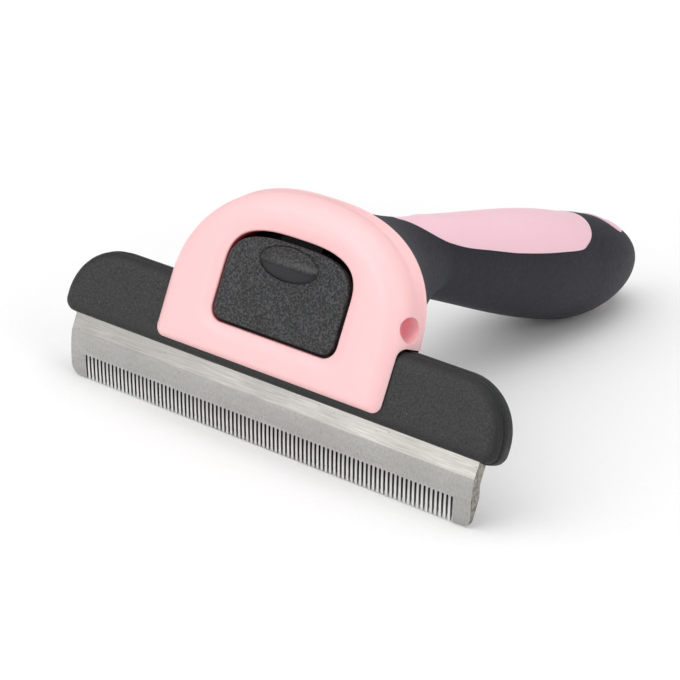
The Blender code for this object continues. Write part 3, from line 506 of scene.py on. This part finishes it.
def ground_steel():
    """Ground faces, teeth with a painted highlight towards their tips, painted shade on the walls between
    the teeth, and rough cut ends.
    """
    m = Nodes("ground_steel")
    height, side = m.along(UP_FACE, HEAD), m.sideways(HEAD)
    strip = m.maths("GREATER_THAN", height, RIDGE + 0.05)
    brush = ground_lines(m, strip)
    shade = m.mask(brush, 0.34, 0.66)
    face = m.mix(shade, (0.31, 0.305, 0.29), (0.55, 0.545, 0.53))
    upper = m.mix(shade, (0.47, 0.455, 0.43), (0.74, 0.72, 0.68))
    base = m.mix(strip, face, upper)
    patches = m.noise(1.0, 3, 0.5, m.stretched((120, 60, 60)))
    base = m.mix(m.spread(patches, 0.40, 0.65, 0.0, 0.30), base, (0.34, 0.325, 0.30))

    ends = m.mask(side, BLADE_HALF - 0.10, BLADE_HALF - 0.03)
    torn = m.mask(m.noise(1100, 4, 0.7), 0.35, 0.65)
    base = m.mix(ends, base, m.mix(torn, (0.10, 0.09, 0.08), (0.42, 0.39, 0.35)))
    clear_of_ends = m.maths("SUBTRACT", 1.0, ends)

    # Painted highlight: the teeth paler towards their tips, standing in for the reflection of the floor.
    teeth = m.both(m.spread(height, SLOT_TOP + 0.5, -12.0, 0.0, 0.8), m.mask(side, 47.0, 46.4))
    base = m.mix(m.both(teeth, clear_of_ends), base, (0.95, 0.94, 0.92))

    # Painted shade: near black on the walls between the teeth, where the normal points across the blade
    # below the slots' tops.
    facing = m.new("ShaderNodeSeparateXYZ")
    m.link(m.normal, facing.inputs[0])
    wall = m.spread(m.maths("ABSOLUTE", facing.outputs["X"]), 0.6, 0.85, 0.0, 0.85)
    wall = m.both(wall, m.mask(height, SLOT_TOP + 0.3, SLOT_TOP))
    base = m.mix(m.both(wall, clear_of_ends), base, (0.02, 0.02, 0.02))

    pits = m.spots(360, 0.085, m.stretched((1.0, 1.6, 1.6)))
    m.drive("Base Color", m.mix(pits, base, (0.10, 0.09, 0.08)))
    m.put("Metallic", 0.85)
    m.drive("Roughness", m.spread(brush, 0.3, 0.7, 0.42, 0.28))
    m.put("Anisotropic", 0.30)
    m.bump(brush, 0.35, 0.012, edge=0.10)
    return m.material


def plated_steel():
    m = Nodes("plated_steel")
    tone = m.mask(m.noise(700, 3), 0.3, 0.7)
    m.drive("Base Color", m.mix(tone, (0.42, 0.42, 0.43), (0.58, 0.58, 0.57)))
    m.put("Metallic", 1.0)
    m.drive("Roughness", m.spread(m.noise(1200, 3), 0.3, 0.7, 0.26, 0.42))
    m.bump(m.noise(2500, 2), 0.3, 0.01, edge=0.08)
    return m.material


# ---------------------------------------------------------------- head


def shell_rings():
    """Rings round the shell's section: outside wall, crown, face, bevel, window and inside."""
    rim, crown, lip = d_outline(RIM), d_outline(CROWN), d_outline(RIM, -0.22)
    rings = [at_depth(d_outline(RIM, 0.1), RIM_DEPTH)]
    for share, step in ((0.7, 0.06), (1.0, 0.2), (1.0, 0.45), (0.5, 0.6), (0.0, RIM_DEPTH - CROWN_START)):
        rings.append(at_depth(mixed(rim, lip, share), RIM_DEPTH - step))
    for k in range(1, 9):
        share = k / 8
        rings.append(at_depth(mixed(rim, crown, share), CROWN_START - (CROWN_START - CROWN_DEPTH) * share))
    for k in range(1, 13):
        angle = math.radians(7.5 * k)
        inset = CROWN_INSET * (1 - math.cos(angle))
        rings.append(at_depth(d_outline(CROWN, inset, LIP_EASE), CROWN_DEPTH * (1 - math.sin(angle))))
    for spread, depth in ((3.0, 0.0), (2.5, 0.03), (2.1, 0.12), (1.6, 0.30), (1.0, 0.54), (0.5, 0.72),
                          (0.25, 0.82), (0.08, 0.95), (0.0, 1.15), (0.0, FACE_THICKNESS)):
        rings.append(at_depth(d_outline(WINDOW, -spread), depth))
    rings.append(at_depth(d_outline(CROWN, WALL), FACE_THICKNESS))
    rings.append(at_depth(d_outline(RIM, WALL), RIM_DEPTH))
    return rings


def front_shell(material):
    """The D with its window, open under the arch, with a blind bore in each cheek."""
    shell = make("shell_d", *skin(shell_rings(), ring_shaped=True), material)
    wall = circle((PIN_N, PIN_S), BORE_RADIUS + CUP_WALL, 48)
    cups = [make(f"cup_{sign}", *prism(wall, sign * (BORE_FLOOR - CUP_WALL), sign * CUP_OUTER))
            for sign in (-1, 1)]
    cut_with(shell, cups, "UNION")
    corner = arc((FACE_THICKNESS + ARCH_CORNER, ARCH_EDGE - ARCH_CORNER), ARCH_CORNER, 180, 90, 10)
    arch = [(FACE_THICKNESS, ARCH_BOTTOM), *corner, (ARCH_BACK, ARCH_EDGE), (ARCH_BACK, ARCH_BOTTOM)]
    channel = make("channel", *prism(arch, -ARCH_HALF, ARCH_HALF))
    return cut_with(shell, [channel, bore_cutter(-1), bore_cutter(1)])


def bore_cutter(sign):
    """A blind round bore with a rounded floor."""
    rings = []
    for depth, radius in ((0.0, 0.01), (0.06, 0.7), (0.3, 1.4), (0.8, 2.0), (1.6, 2.4),
                          (2.6, BORE_RADIUS), (BORE_MOUTH - BORE_FLOOR, BORE_RADIUS)):
        x = sign * (BORE_FLOOR + depth)
        rings.append([head_point(x, n, s) for n, s in circle((PIN_N, PIN_S), radius, 48)])
    return make(f"bore_{sign}", *skin(rings))


def pin_saddles(material):
    """The two saddles inside the shell that hold the hinge pin."""
    front, back = FACE_THICKNESS - 0.1, SADDLE_BACK
    seat = arc((PIN_N, PIN_S), PIN_RADIUS, -90, -270, 16)
    below, above = PIN_S - SADDLE_HALF, PIN_S + SADDLE_HALF
    saddle = [(front, below), (back, below), (back, PIN_S - PIN_RADIUS), *seat,
              (back, PIN_S + PIN_RADIUS), (back, above), (front, above)]
    sides = ((-SADDLE_OUT, -SADDLE_IN), (SADDLE_IN, SADDLE_OUT))
    return make("pin_saddles", *joined([prism(saddle, *side) for side in sides]), material)


def screw_bosses(material):
    """The screw bosses inside the shell, seen when the cartridge is out."""
    shells = []
    for across, s in BOSS_PLACES:
        for x in (-across, across):
            rings = []
            for n, radius in ((RIM_DEPTH - 0.1, 1.25), (RIM_DEPTH - 0.05, 2.1),
                              (RIM_DEPTH - 0.3, BOSS_RADIUS), (FACE_THICKNESS - 0.2, BOSS_RADIUS)):
                rings.append(at_depth(circle((x, s), radius, 32), n))
            shells.append(skin(rings))
    return make("shell_bosses", *joined(shells), material)


# -------------------------------------------------------------- button


def reach(outline, centre, angle):
    """Distance from centre to the outline in one direction."""
    dx, ds = math.cos(angle), math.sin(angle)
    best = 0.0
    for (x0, s0), (x1, s1) in zip(outline, outline[1:] + outline[:1]):
        ex, es = x1 - x0, s1 - s0
        cross = dx * es - ds * ex
        if abs(cross) < 1e-9:
            continue
        far = ((x0 - centre[0]) * es - (s0 - centre[1]) * ex) / cross
        along = ((x0 - centre[0]) * ds - (s0 - centre[1]) * dx) / cross
        if far > 0 and -1e-6 <= along <= 1 + 1e-6:
            best = max(best, far)
    return best


def bump_height(a, b):
    """Height of the thumb bump over the panel, a and b from -1 to 1 across and up."""
    room = max(1 - a * a, 0.0)
    edge = math.sqrt(room)
    ridge = BUMP_RIDGE * edge
    if edge < 1e-6:
        return 0.0
    crest = BUMP_RISE * room ** 0.6
    if b > ridge:
        share = min(max((edge - b) / (edge - ridge), 0.0), 1.0)
        return crest * math.sin(share * math.pi / 2) ** 1.1
    share = min(max((b + edge) / (ridge + edge), 0.0), 1.0)
    return crest * share ** 0.8


PANEL_ANGLES = [2 * math.pi * k / 288 for k in range(288)]


def panel_ring(radii, n):
    """Ring round the thumb bump with one radius for each angle."""
    x, s = BUMP_CENTRE
    return [head_point(x + r * math.cos(a), n, s + r * math.sin(a)) for a, r in zip(PANEL_ANGLES, radii)]


def panel_radii(inset):
    outline = d_outline(PANEL, inset)
    return [reach(outline, BUMP_CENTRE, a) for a in PANEL_ANGLES]


def bump_radii(scale):
    return [scale / math.hypot(math.cos(a) / BUMP_WIDTH, math.sin(a) / BUMP_HEIGHT) for a in PANEL_ANGLES]


def bump_ring(scale):
    """Ring on the thumb bump, an oval of the given scale."""
    ring = []
    for a, r in zip(PANEL_ANGLES, bump_radii(scale)):
        x, s = r * math.cos(a), r * math.sin(a)
        height = bump_height(x / BUMP_WIDTH, s / BUMP_HEIGHT)
        ring.append(head_point(BUMP_CENTRE[0] + x, PANEL_FRONT - height, BUMP_CENTRE[1] + s))
    return ring


def button_panel(material):
    """The panel with its eased edge, a crease round the thumb bump and the bump."""
    rings = [panel_ring(panel_radii(0.0), PANEL_BACK)]
    for k in range(7):
        angle = math.radians(15 * k)
        inset, depth = PANEL_EDGE * (1 - math.cos(angle)), PANEL_EDGE * (1 - math.sin(angle))
        rings.append(panel_ring(panel_radii(inset), PANEL_FRONT + depth))
    outer = panel_radii(PANEL_EDGE + 0.05)
    for k in range(9):
        share = k / 8
        radii = [o + (r - o) * share for o, r in zip(outer, bump_radii(1.05))]
        rings.append(panel_ring(radii, PANEL_FRONT - 0.03 * (1 - share)))
    for scale, depth in ((1.035, 0.14), (1.01, 0.22), (1.0, 0.16)):
        rings.append(panel_ring(bump_radii(scale), PANEL_FRONT + depth))
    rings += [bump_ring(1 - k / 34) for k in range(1, 34)]
    return make("button_panel", *skin(rings), material, sharp=50.0)


def button_back(material):
    """Behind the panel: two ears on the hinge pin, a stop and the pusher that bends the catch."""
    front, step, ease = PANEL_BACK - 0.1, 0.5, 0.25
    round_end = arc((PIN_N, PIN_S), EAR_RADIUS, 90, -90, 16)
    ear = [(front, PIN_S - EAR_RADIUS), (front, PIN_S + EAR_RADIUS), *round_end]
    ledge = STOP_BOTTOM + 0.9
    stop = [(front, STOP_BOTTOM), (STOP_BACK, STOP_BOTTOM), (STOP_BACK, STOP_TOP),
            (front + step, STOP_TOP), (front + step, ledge), (front, ledge)]
    pusher = [(front, PUSHER_BOTTOM), (PUSHER_TIP - ease, PUSHER_BOTTOM),
              (PUSHER_TIP, PUSHER_BOTTOM + ease), (PUSHER_TIP, PUSHER_TOP - ease),
              (PUSHER_TIP - ease, PUSHER_TOP), (front, PUSHER_TOP)]
    shells = [prism(ear, -EAR_OUT, -EAR_IN), prism(ear, EAR_IN, EAR_OUT),
              prism(stop, -STOP_HALF, STOP_HALF), prism(pusher, -PUSHER_HALF, PUSHER_HALF)]
    pin_room = make("pin_room", *prism(circle((PIN_N, PIN_S), PIN_RADIUS, 48), -20.0, 20.0))
    return cut_with(make("button_back", *joined(shells), material), [pin_room])


# ----------------------------------------------------------- cartridge


def wing_outline(inset=0.0):
    """Closed outline (x, s) of the carrier plates, with round wing tops and small heels."""
    half, top, bottom = WING_HALF - inset, WING_TOP - inset, WING_BOTTOM + inset
    small, big = max(WING_HEEL - inset, 0.5), WING_CORNER - inset
    right = [((half - small) * k / 12, bottom) for k in range(12)]
    right += arc((half - small, bottom + small), small, -90, 0, 10)
    right += arc((half - big, top - big), big, 0, 90, 24)
    end = right[-1][0]
    right += [(end * (1 - k / 12), top) for k in range(1, 12)]
    return right + [(0.0, top)] + [(-x, s) for x, s in reversed(right[1:])]


def carrier_front(material):
    """The front plate, with its wide round shoulder."""
    near, far = FRONT_PLATE
    rings = [at_depth(wing_outline(inset), far - step)
             for inset, step in ((0.7, 0.0), (0.25, 0.08), (0.06, 0.25))]
    for k in range(13):
        angle = math.radians(7.5 * k)
        inset = SHOULDER_INSET * (1 - math.cos(angle))
        rings.append(at_depth(wing_outline(inset), near + SHOULDER_DEPTH * (1 - math.sin(angle))))
    return make("carrier_wings", *skin(rings), material)


def rivet_recess(x):
    rings = []
    for n, radius in ((RECESS_FLOOR, RECESS_RADIUS), (RECESS_FLOOR + 0.65, RECESS_RADIUS),
                      (RECESS_FLOOR + 0.95, RECESS_RADIUS + 0.3)):
        rings.append(at_depth(circle((x, RIVETS_S), radius, 40), n))
    return make(f"recess_{x}", *skin(rings))


def carrier_rear(material):
    """The rear plate, with the rivets' recesses."""
    near, far = REAR_PLATE
    rings = []
    for inset, n in ((0.9, near), (0.3, near + 0.03), (0.05, near + 0.12), (-0.2, near + 0.3),
                     (-REAR_MARGIN, near + 0.6), (-REAR_MARGIN, far - 0.9), (-0.15, far - 0.45),
                     (0.15, far - 0.12), (0.6, far)):
        rings.append(at_depth(wing_outline(inset), n))
    rear = make("carrier_back", *skin(rings), material)
    return cut_with(rear, [rivet_recess(x) for x in RIVETS_X])


def rounded_box(half, bottom, top, radius):
    """Closed outline (x, s) of a box with round corners."""
    right, left = half - radius, radius - half
    low_corner, high_corner = bottom + radius, top - radius
    return (arc((right, low_corner), radius, -90, 0, 6) + arc((right, high_corner), radius, 0, 90, 6)
            + arc((left, high_corner), radius, 90, 180, 6) + arc((left, low_corner), radius, 180, 270, 6))


def tongue(material):
    """The tongue that locks behind the button, with a notch for the catch."""
    outer = rounded_box(TONGUE_HALF, TONGUE_BOTTOM, TONGUE_TOP, TONGUE_CORNER)
    rings = []
    for width, n in ((0.985, 6.9), (1.0, 7.1), (1.0, 8.1), (0.985, 8.3)):
        rings.append(at_depth([(x * width, s) for x, s in outer], n))
    item = make("tongue", *skin(rings), material)
    notch = rounded_box(NOTCH_HALF, NOTCH_BOTTOM, NOTCH_TOP, NOTCH_CORNER)
    return cut_with(item, [make("notch", *skin([at_depth(notch, n) for n in (6.0, 9.5)]))])


def blade_front(s):
    """Depth of the blade's front: flat above the ridge, hollow-ground and steeper towards the tips."""
    share = max((RIDGE - s) / (RIDGE - BLADE_TIP), 0.0)
    return BLADE_FRONT + HOLLOW * share ** HOLLOW_POWER


def blade_back(s):
    """Depth of the blade's back: flat, then bent back, then nearly flat to the tips."""
    if s > BEND_TOP:
        return BLADE_BACK
    if s > BEND_BOTTOM:
        return BLADE_BACK + BEND * (BEND_TOP - s) / (BEND_TOP - BEND_BOTTOM)
    return BLADE_BACK + BEND + BACK_TAPER * (BEND_BOTTOM - s) / (BEND_BOTTOM - BLADE_TIP)


def blade_half(s):
    """Half width of the blade, with its rounded bottom corners."""
    rise = s - BLADE_TIP
    if rise >= BLADE_CORNER:
        return BLADE_HALF
    return BLADE_HALF - BLADE_CORNER + math.sqrt(max(BLADE_CORNER ** 2 - (BLADE_CORNER - rise) ** 2, 0.0))


def slot_half(s):
    """Half width of a slot, with its rounded top."""
    left_over = SLOT_FILLET - min(max(SLOT_TOP - s, 0.0), SLOT_FILLET)
    rounding = SLOT_FILLET - math.sqrt(max(SLOT_FILLET ** 2 - left_over ** 2, 0.0))
    return SLOT_WIDTH / 2 - rounding


def blade_slab(heights, left, right):
    """Points and faces of a stretch of blade, with its left and right edge at each height."""
    rings = []
    for s, x0, x1 in zip(heights, left, right):
        front, back = blade_front(s), blade_back(s)
        rings.append([head_point(x, n, s) for x, n in ((x0, front), (x1, front), (x1, back), (x0, back))])
    return skin(rings)


def comb_blade(material):
    """Body above the slots and one prism for each tooth, as one mesh of closed shells."""
    body = [BLADE_TOP, RIDGE + 0.15, RIDGE, RIDGE - 0.15, -5.0, -6.0, -7.0, -7.6, -8.2, SLOT_TOP]
    shells = [blade_slab(body, [-BLADE_HALF] * len(body), [BLADE_HALF] * len(body))]
    root = [SLOT_TOP - drop for drop in (-0.02, 0.01, 0.05, 0.12, 0.25)]
    tooth = root + [-10.0, -11.0, -12.0, -12.6, -13.1, -13.5, -13.8, -13.95, BLADE_TIP]
    edges = [[-blade_half(s) for s in tooth]]
    for k in range(SLOTS):
        middle = (k - (SLOTS - 1) / 2) * SLOT_PITCH
        edges.append([middle - slot_half(s) for s in tooth])
        edges.append([middle + slot_half(s) for s in tooth])
    edges.append([blade_half(s) for s in tooth])
    for left, right in zip(edges[::2], edges[1::2]):
        shells.append(blade_slab(tooth, left, right))
    return make("blade_steel", *joined(shells), material, sharp=12.0)


# -------------------------------------------------------------- handle


def handle_radius(t):
    """Radius of the handle: slim behind the head, thick at the belly, then a round end."""
    if t <= END_T:
        share = min(max((t - THIN_T) / (BELLY_T - THIN_T), 0.0), 1.0)
        return THIN_RADIUS + (BELLY_RADIUS - THIN_RADIUS) * share * share * (3 - 2 * share)
    share = min((t - END_T) / (TIP_T - END_T), 1.0)
    return BELLY_RADIUS * math.sqrt(max(1 - share ** END_POWER, 0.0))


def lift(t):
    """Upward curve of the handle's end."""
    return LIFT * max((t - LIFT_T) / LIFT_SPAN, 0.0) ** LIFT_POWER


def neck_height():
    """Height of the handle's axis at the neck, with which its belly rests on the floor."""
    steps = [END_T * k / 8 for k in range(9)]
    steps += [END_T + (TIP_T - END_T) * math.sin(math.radians(84 * k / 8)) for k in range(1, 9)]
    return -min(lift(t) - t * math.sin(SLOPE) - handle_radius(t) * math.cos(SLOPE) for t in steps)


NECK_Z = neck_height()


def handle_point(x, t, h):
    y = NECK_Y + SHIFT + t * math.cos(SLOPE) + h * math.sin(SLOPE)
    return Vector((x, y, NECK_Z - t * math.sin(SLOPE) + h * math.cos(SLOPE) + lift(t)))


def handle_circle(angles, t, radius):
    return [handle_point(radius * math.sin(a), t, radius * math.cos(a)) for a in angles]


def flare_ring(start, neck, angles, along):
    """Ring between the D behind the shell and the round neck."""
    ring = []
    for d, c, angle in zip(start, neck, angles):
        ease = FLARE_EASE + (FLARE_EASE_BELOW - FLARE_EASE) * max(-math.cos(angle), 0.0)
        inward = 1 - (1 - along) ** ease
        ring.append(Vector((d.x + (c.x - d.x) * inward, d.y + (c.y - d.y) * along,
                            d.z + (c.z - d.z) * inward)))
    return ring


def handle_rings(inset):
    """Rings of the rubber from the groove behind the shell to the handle's end."""
    middle = (LIP_BOTTOM + RIM["top"]) / 2
    angles = [math.atan2(x, s - middle) for x, s in d_outline(RIM)]
    rings = [at_depth(d_outline(RIM, SLEEVE_INSET + inset + extra), SLEEVE_PLANE + n)
             for extra, n in ((0.9, 0.0), (0.9, 0.35), (0.15, 0.45))]
    start = at_depth(d_outline(RIM, SLEEVE_INSET + inset), SLEEVE_PLANE)
    neck = handle_circle(angles, 0.0, handle_radius(0.0) - inset)
    rings += [flare_ring(start, neck, angles, k / 28) for k in range(1, 28)]
    stations = [END_T * k / 40 for k in range(41)]
    stations += [END_T + (TIP_T - END_T) * math.sin(math.radians(89 * k / 36)) for k in range(1, 37)]
    shorten = 1 - inset / (TIP_T - END_T)
    for t in stations:
        place = t if t <= END_T else END_T + (t - END_T) * shorten
        rings.append(handle_circle(angles, place, max(handle_radius(t) - inset, 0.3)))
    return rings


def smooth_outline(points, steps):
    """Smooth curve through the points."""
    ends = [points[0], *points, points[-1]]
    result = []
    for k in range(1, len(ends) - 2):
        p0, p1, p2, p3 = ends[k - 1:k + 3]
        for j in range(steps):
            u = j / steps
            result.append(tuple(0.5 * (2 * b + (c - a) * u + (2 * a - 5 * b + 4 * c - d) * u * u
                                       + (3 * b - a - 3 * c + d) * u ** 3)
                                for a, b, c, d in zip(p0, p1, p2, p3)))
    return result + [points[-1]]


def inlay_prism(name, extra, floor):
    """The inlay's outline, widened by extra, drawn out upwards from the floor."""
    side = smooth_outline(INLAY_POINTS, 10)
    outline = [(half + extra, t) for t, half in side]
    outline = [(0.0, side[0][0] - 1.0 - extra), *outline, (0.0, side[-1][0] + 0.45 + extra)]
    outline += [(-x, t) for x, t in reversed(outline[1:-1])]
    rings = [[handle_point(x, t, h) for x, t in outline] for h in (floor, 40.0)]
    return make(name, *skin(rings))


def grip_sleeve(material):
    """The rubber, with the seats of the inlay and of the eyelet."""
    sleeve = make("rubber_grip", *skin(handle_rings(0.0)), material)
    eyelet = eyelet_column("eyelet_seat", 0.06)
    return cut_with(sleeve, [inlay_prism("inlay_seat", 0.05, 0.9), eyelet], sharp=50.0)


def top_inlay(material):
    """The pink inlay, almost flush with the rubber."""
    inlay = inlay_prism("pink_inlay", 0.0, 1.0)
    inlay.data.materials.append(material)
    form = make("inlay_form", *skin(handle_rings(0.03)))
    return cut_with(inlay, [form], "INTERSECT", sharp=50.0)


def eyelet_centre():
    return NECK_Y + SHIFT + EYELET_T * math.cos(SLOPE)


def eyelet_ring(wide, deep, z):
    """A squarish oval round the eyelet's centre."""
    ring = []
    for k in range(96):
        angle = 2 * math.pi * k / 96
        c, s = math.cos(angle), math.sin(angle)
        x = wide * math.copysign(abs(c) ** (2 / EYELET_POWER), c)
        y = deep * math.copysign(abs(s) ** (2 / EYELET_POWER), s)
        ring.append(Vector((x, eyelet_centre() + y, z)))
    return ring


def eyelet_column(name, extra):
    """The eyelet's outside: an upright tube with a wider oval flange above it."""
    tube, wide, deep = EYELET_TUBE + extra, EYELET_WIDTH + extra, EYELET_LENGTH + extra
    rings = [eyelet_ring(tube, tube, z) for z in (-3.0, EYELET_SEAT - 0.5)]
    rings += [eyelet_ring(wide, deep, z) for z in (EYELET_SEAT, 45.0)]
    return make(name, *skin(rings))


def hang_eyelet(material):
    """The eyelet, cut to the handle's form and a little proud of it, with its hole."""
    eyelet = eyelet_column("eyelet_pink", 0.0)
    eyelet.data.materials.append(material)
    proud = Vector((0, 0, EYELET_PROUD))
    form = make("eyelet_form", *skin([[p + proud for p in ring] for ring in handle_rings(0.0)]))
    cut_with(eyelet, [form], "INTERSECT", sharp=50.0)
    round_hole = circle((0.0, eyelet_centre()), HOLE_RADIUS, 48)
    hole = make("hole", *skin([[Vector((x, y, z)) for x, y in round_hole] for z in (-8.0, 45.0)]))
    return cut_with(eyelet, [hole], sharp=50.0)


# --------------------------------------------------------------- build


def build():
    # The bore colour is painted shade: a deeper, redder pink standing in for light bounced inside the
    # cheek bores.
    pink = pink_plastic("shell_pink", (0.930, 0.560, 0.570), (0.920, 0.545, 0.558), 0.36, 1.6,
                        bore=(1.0, 0.44, 0.49))
    inlay_pink = pink_plastic("inlay_pink", (0.930, 0.605, 0.680), (0.915, 0.590, 0.670), 0.45, 1.2)
    panel, carrier, rubber = grained_panel(), carrier_plastic(), soft_rubber()
    steel, plated = ground_steel(), plated_steel()

    finish_piece(front_shell(pink), "handle", "front_shell", "front_shell")
    finish_piece(screw_bosses(pink), "handle", "front_shell")
    finish_piece(pin_saddles(pink), "handle", "front_shell")
    finish_piece(button_panel(panel), "button", "release_button", "release_button")
    finish_piece(button_back(gap_shade_black()), "button", "release_button")
    finish_piece(carrier_front(carrier), "cartridge", "carrier", "carrier_front")
    finish_piece(carrier_rear(carrier), "cartridge", "carrier", "carrier_rear")
    finish_piece(tongue(carrier), "cartridge", "carrier")
    finish_piece(comb_blade(steel), "cartridge", "blade_steel", "comb_blade")
    finish_piece(grip_sleeve(rubber), "handle", "grip_sleeve", "grip_sleeve")
    finish_piece(top_inlay(inlay_pink), "handle", "top_inlay", "top_inlay")
    finish_piece(hang_eyelet(inlay_pink), "handle", "hang_eyelet", "hang_eyelet")

    for name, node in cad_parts.items():
        node.data.materials.clear()
        if name.startswith(("blade_rivet", "catch_", "shell_screw", "hinge_pin")):
            node.data.materials.append(plated)
        elif name == "handle_core":
            node.data.materials.append(pink)
        else:
            node.data.materials.append(panel)


def stage():
    """A pale floor just under the tool, which fades into the bright surroundings."""
    size, below = 4.0, -0.0002
    mesh = bpy.data.meshes.new("floor")
    corners = [(-size, -size, below), (size, -size, below), (size, size, below), (-size, size, below)]
    mesh.from_pydata(corners, [], [(0, 1, 2, 3)])
    floor = bpy.data.objects.new("floor", mesh)
    bpy.context.scene.collection.objects.link(floor)
    m = Nodes("pale_floor")
    paper = m.spread(m.noise(900, 3), 0.3, 0.7, 0.925, 0.945)
    m.drive("Base Color", paper)
    m.put("Roughness", 0.9)
    m.put("Specular IOR Level", 0.1)
    m.put("Emission Color", (1.0, 1.0, 1.0, 1.0))
    far = m.new("ShaderNodeVectorMath", operation="LENGTH")
    m.link(m.place, far.inputs[0])
    m.drive("Emission Strength", m.spread(far.outputs["Value"], 0.10, 0.45, 0.0, 0.30))
    mesh.materials.append(m.material)


def area(name, place, target, size, power):
    """A square lamp, in metres and watts, aimed at the target."""
    lamp = bpy.data.lights.new(name, "AREA")
    lamp.energy, lamp.size = power, size
    item = bpy.data.objects.new(name, lamp)
    item.location = place
    item.rotation_euler = (Vector(target) - Vector(place)).to_track_quat("-Z", "Y").to_euler()
    bpy.context.scene.collection.objects.link(item)


def lights():
    """Four soft lamps in pale surroundings that brighten upwards."""
    world = bpy.data.worlds.new("studio")
    world.use_nodes = True
    tree = world.node_tree
    place = tree.nodes.new("ShaderNodeTexCoord")
    split = tree.nodes.new("ShaderNodeSeparateXYZ")
    climb = tree.nodes.new("ShaderNodeMapRange")
    for name, value in (("From Min", 0.0), ("From Max", 0.9), ("To Min", 0.28), ("To Max", 0.75)):
        climb.inputs[name].default_value = value
    tree.links.new(place.outputs["Generated"], split.inputs["Vector"])
    tree.links.new(split.outputs["Z"], climb.inputs["Value"])
    tree.links.new(climb.outputs["Result"], tree.nodes["Background"].inputs["Strength"])
    tree.nodes["Background"].inputs["Color"].default_value = (1.0, 1.0, 1.0, 1.0)
    bpy.context.scene.world = world
    area("key", (-0.35, -0.75, 0.85), (0, 0, 0.02), 0.8, 3.4)
    area("fill", (0.95, -0.30, 0.50), (0, 0, 0.02), 0.7, 2.2)
    area("top", (0.05, -0.05, 1.2), (0, 0, 0.02), 0.9, 3.4)
    area("front", (-0.20, -1.29, 0.40), (0, 0, 0.03), 1.0, 3.6)


def camera():
    lens = bpy.data.cameras.new("camera")
    lens.lens, lens.sensor_width = CAMERA_LENS, 36.0
    lens.clip_start, lens.clip_end = 0.01, 20.0
    item = bpy.data.objects.new("camera", lens)
    item.location = CAMERA_PLACE
    item.rotation_euler = [math.radians(a) for a in CAMERA_TURN]
    bpy.context.scene.collection.objects.link(item)
    bpy.context.scene.camera = item


build()
stage()
lights()
camera()
bpy.context.scene.view_settings.view_transform = "Standard"
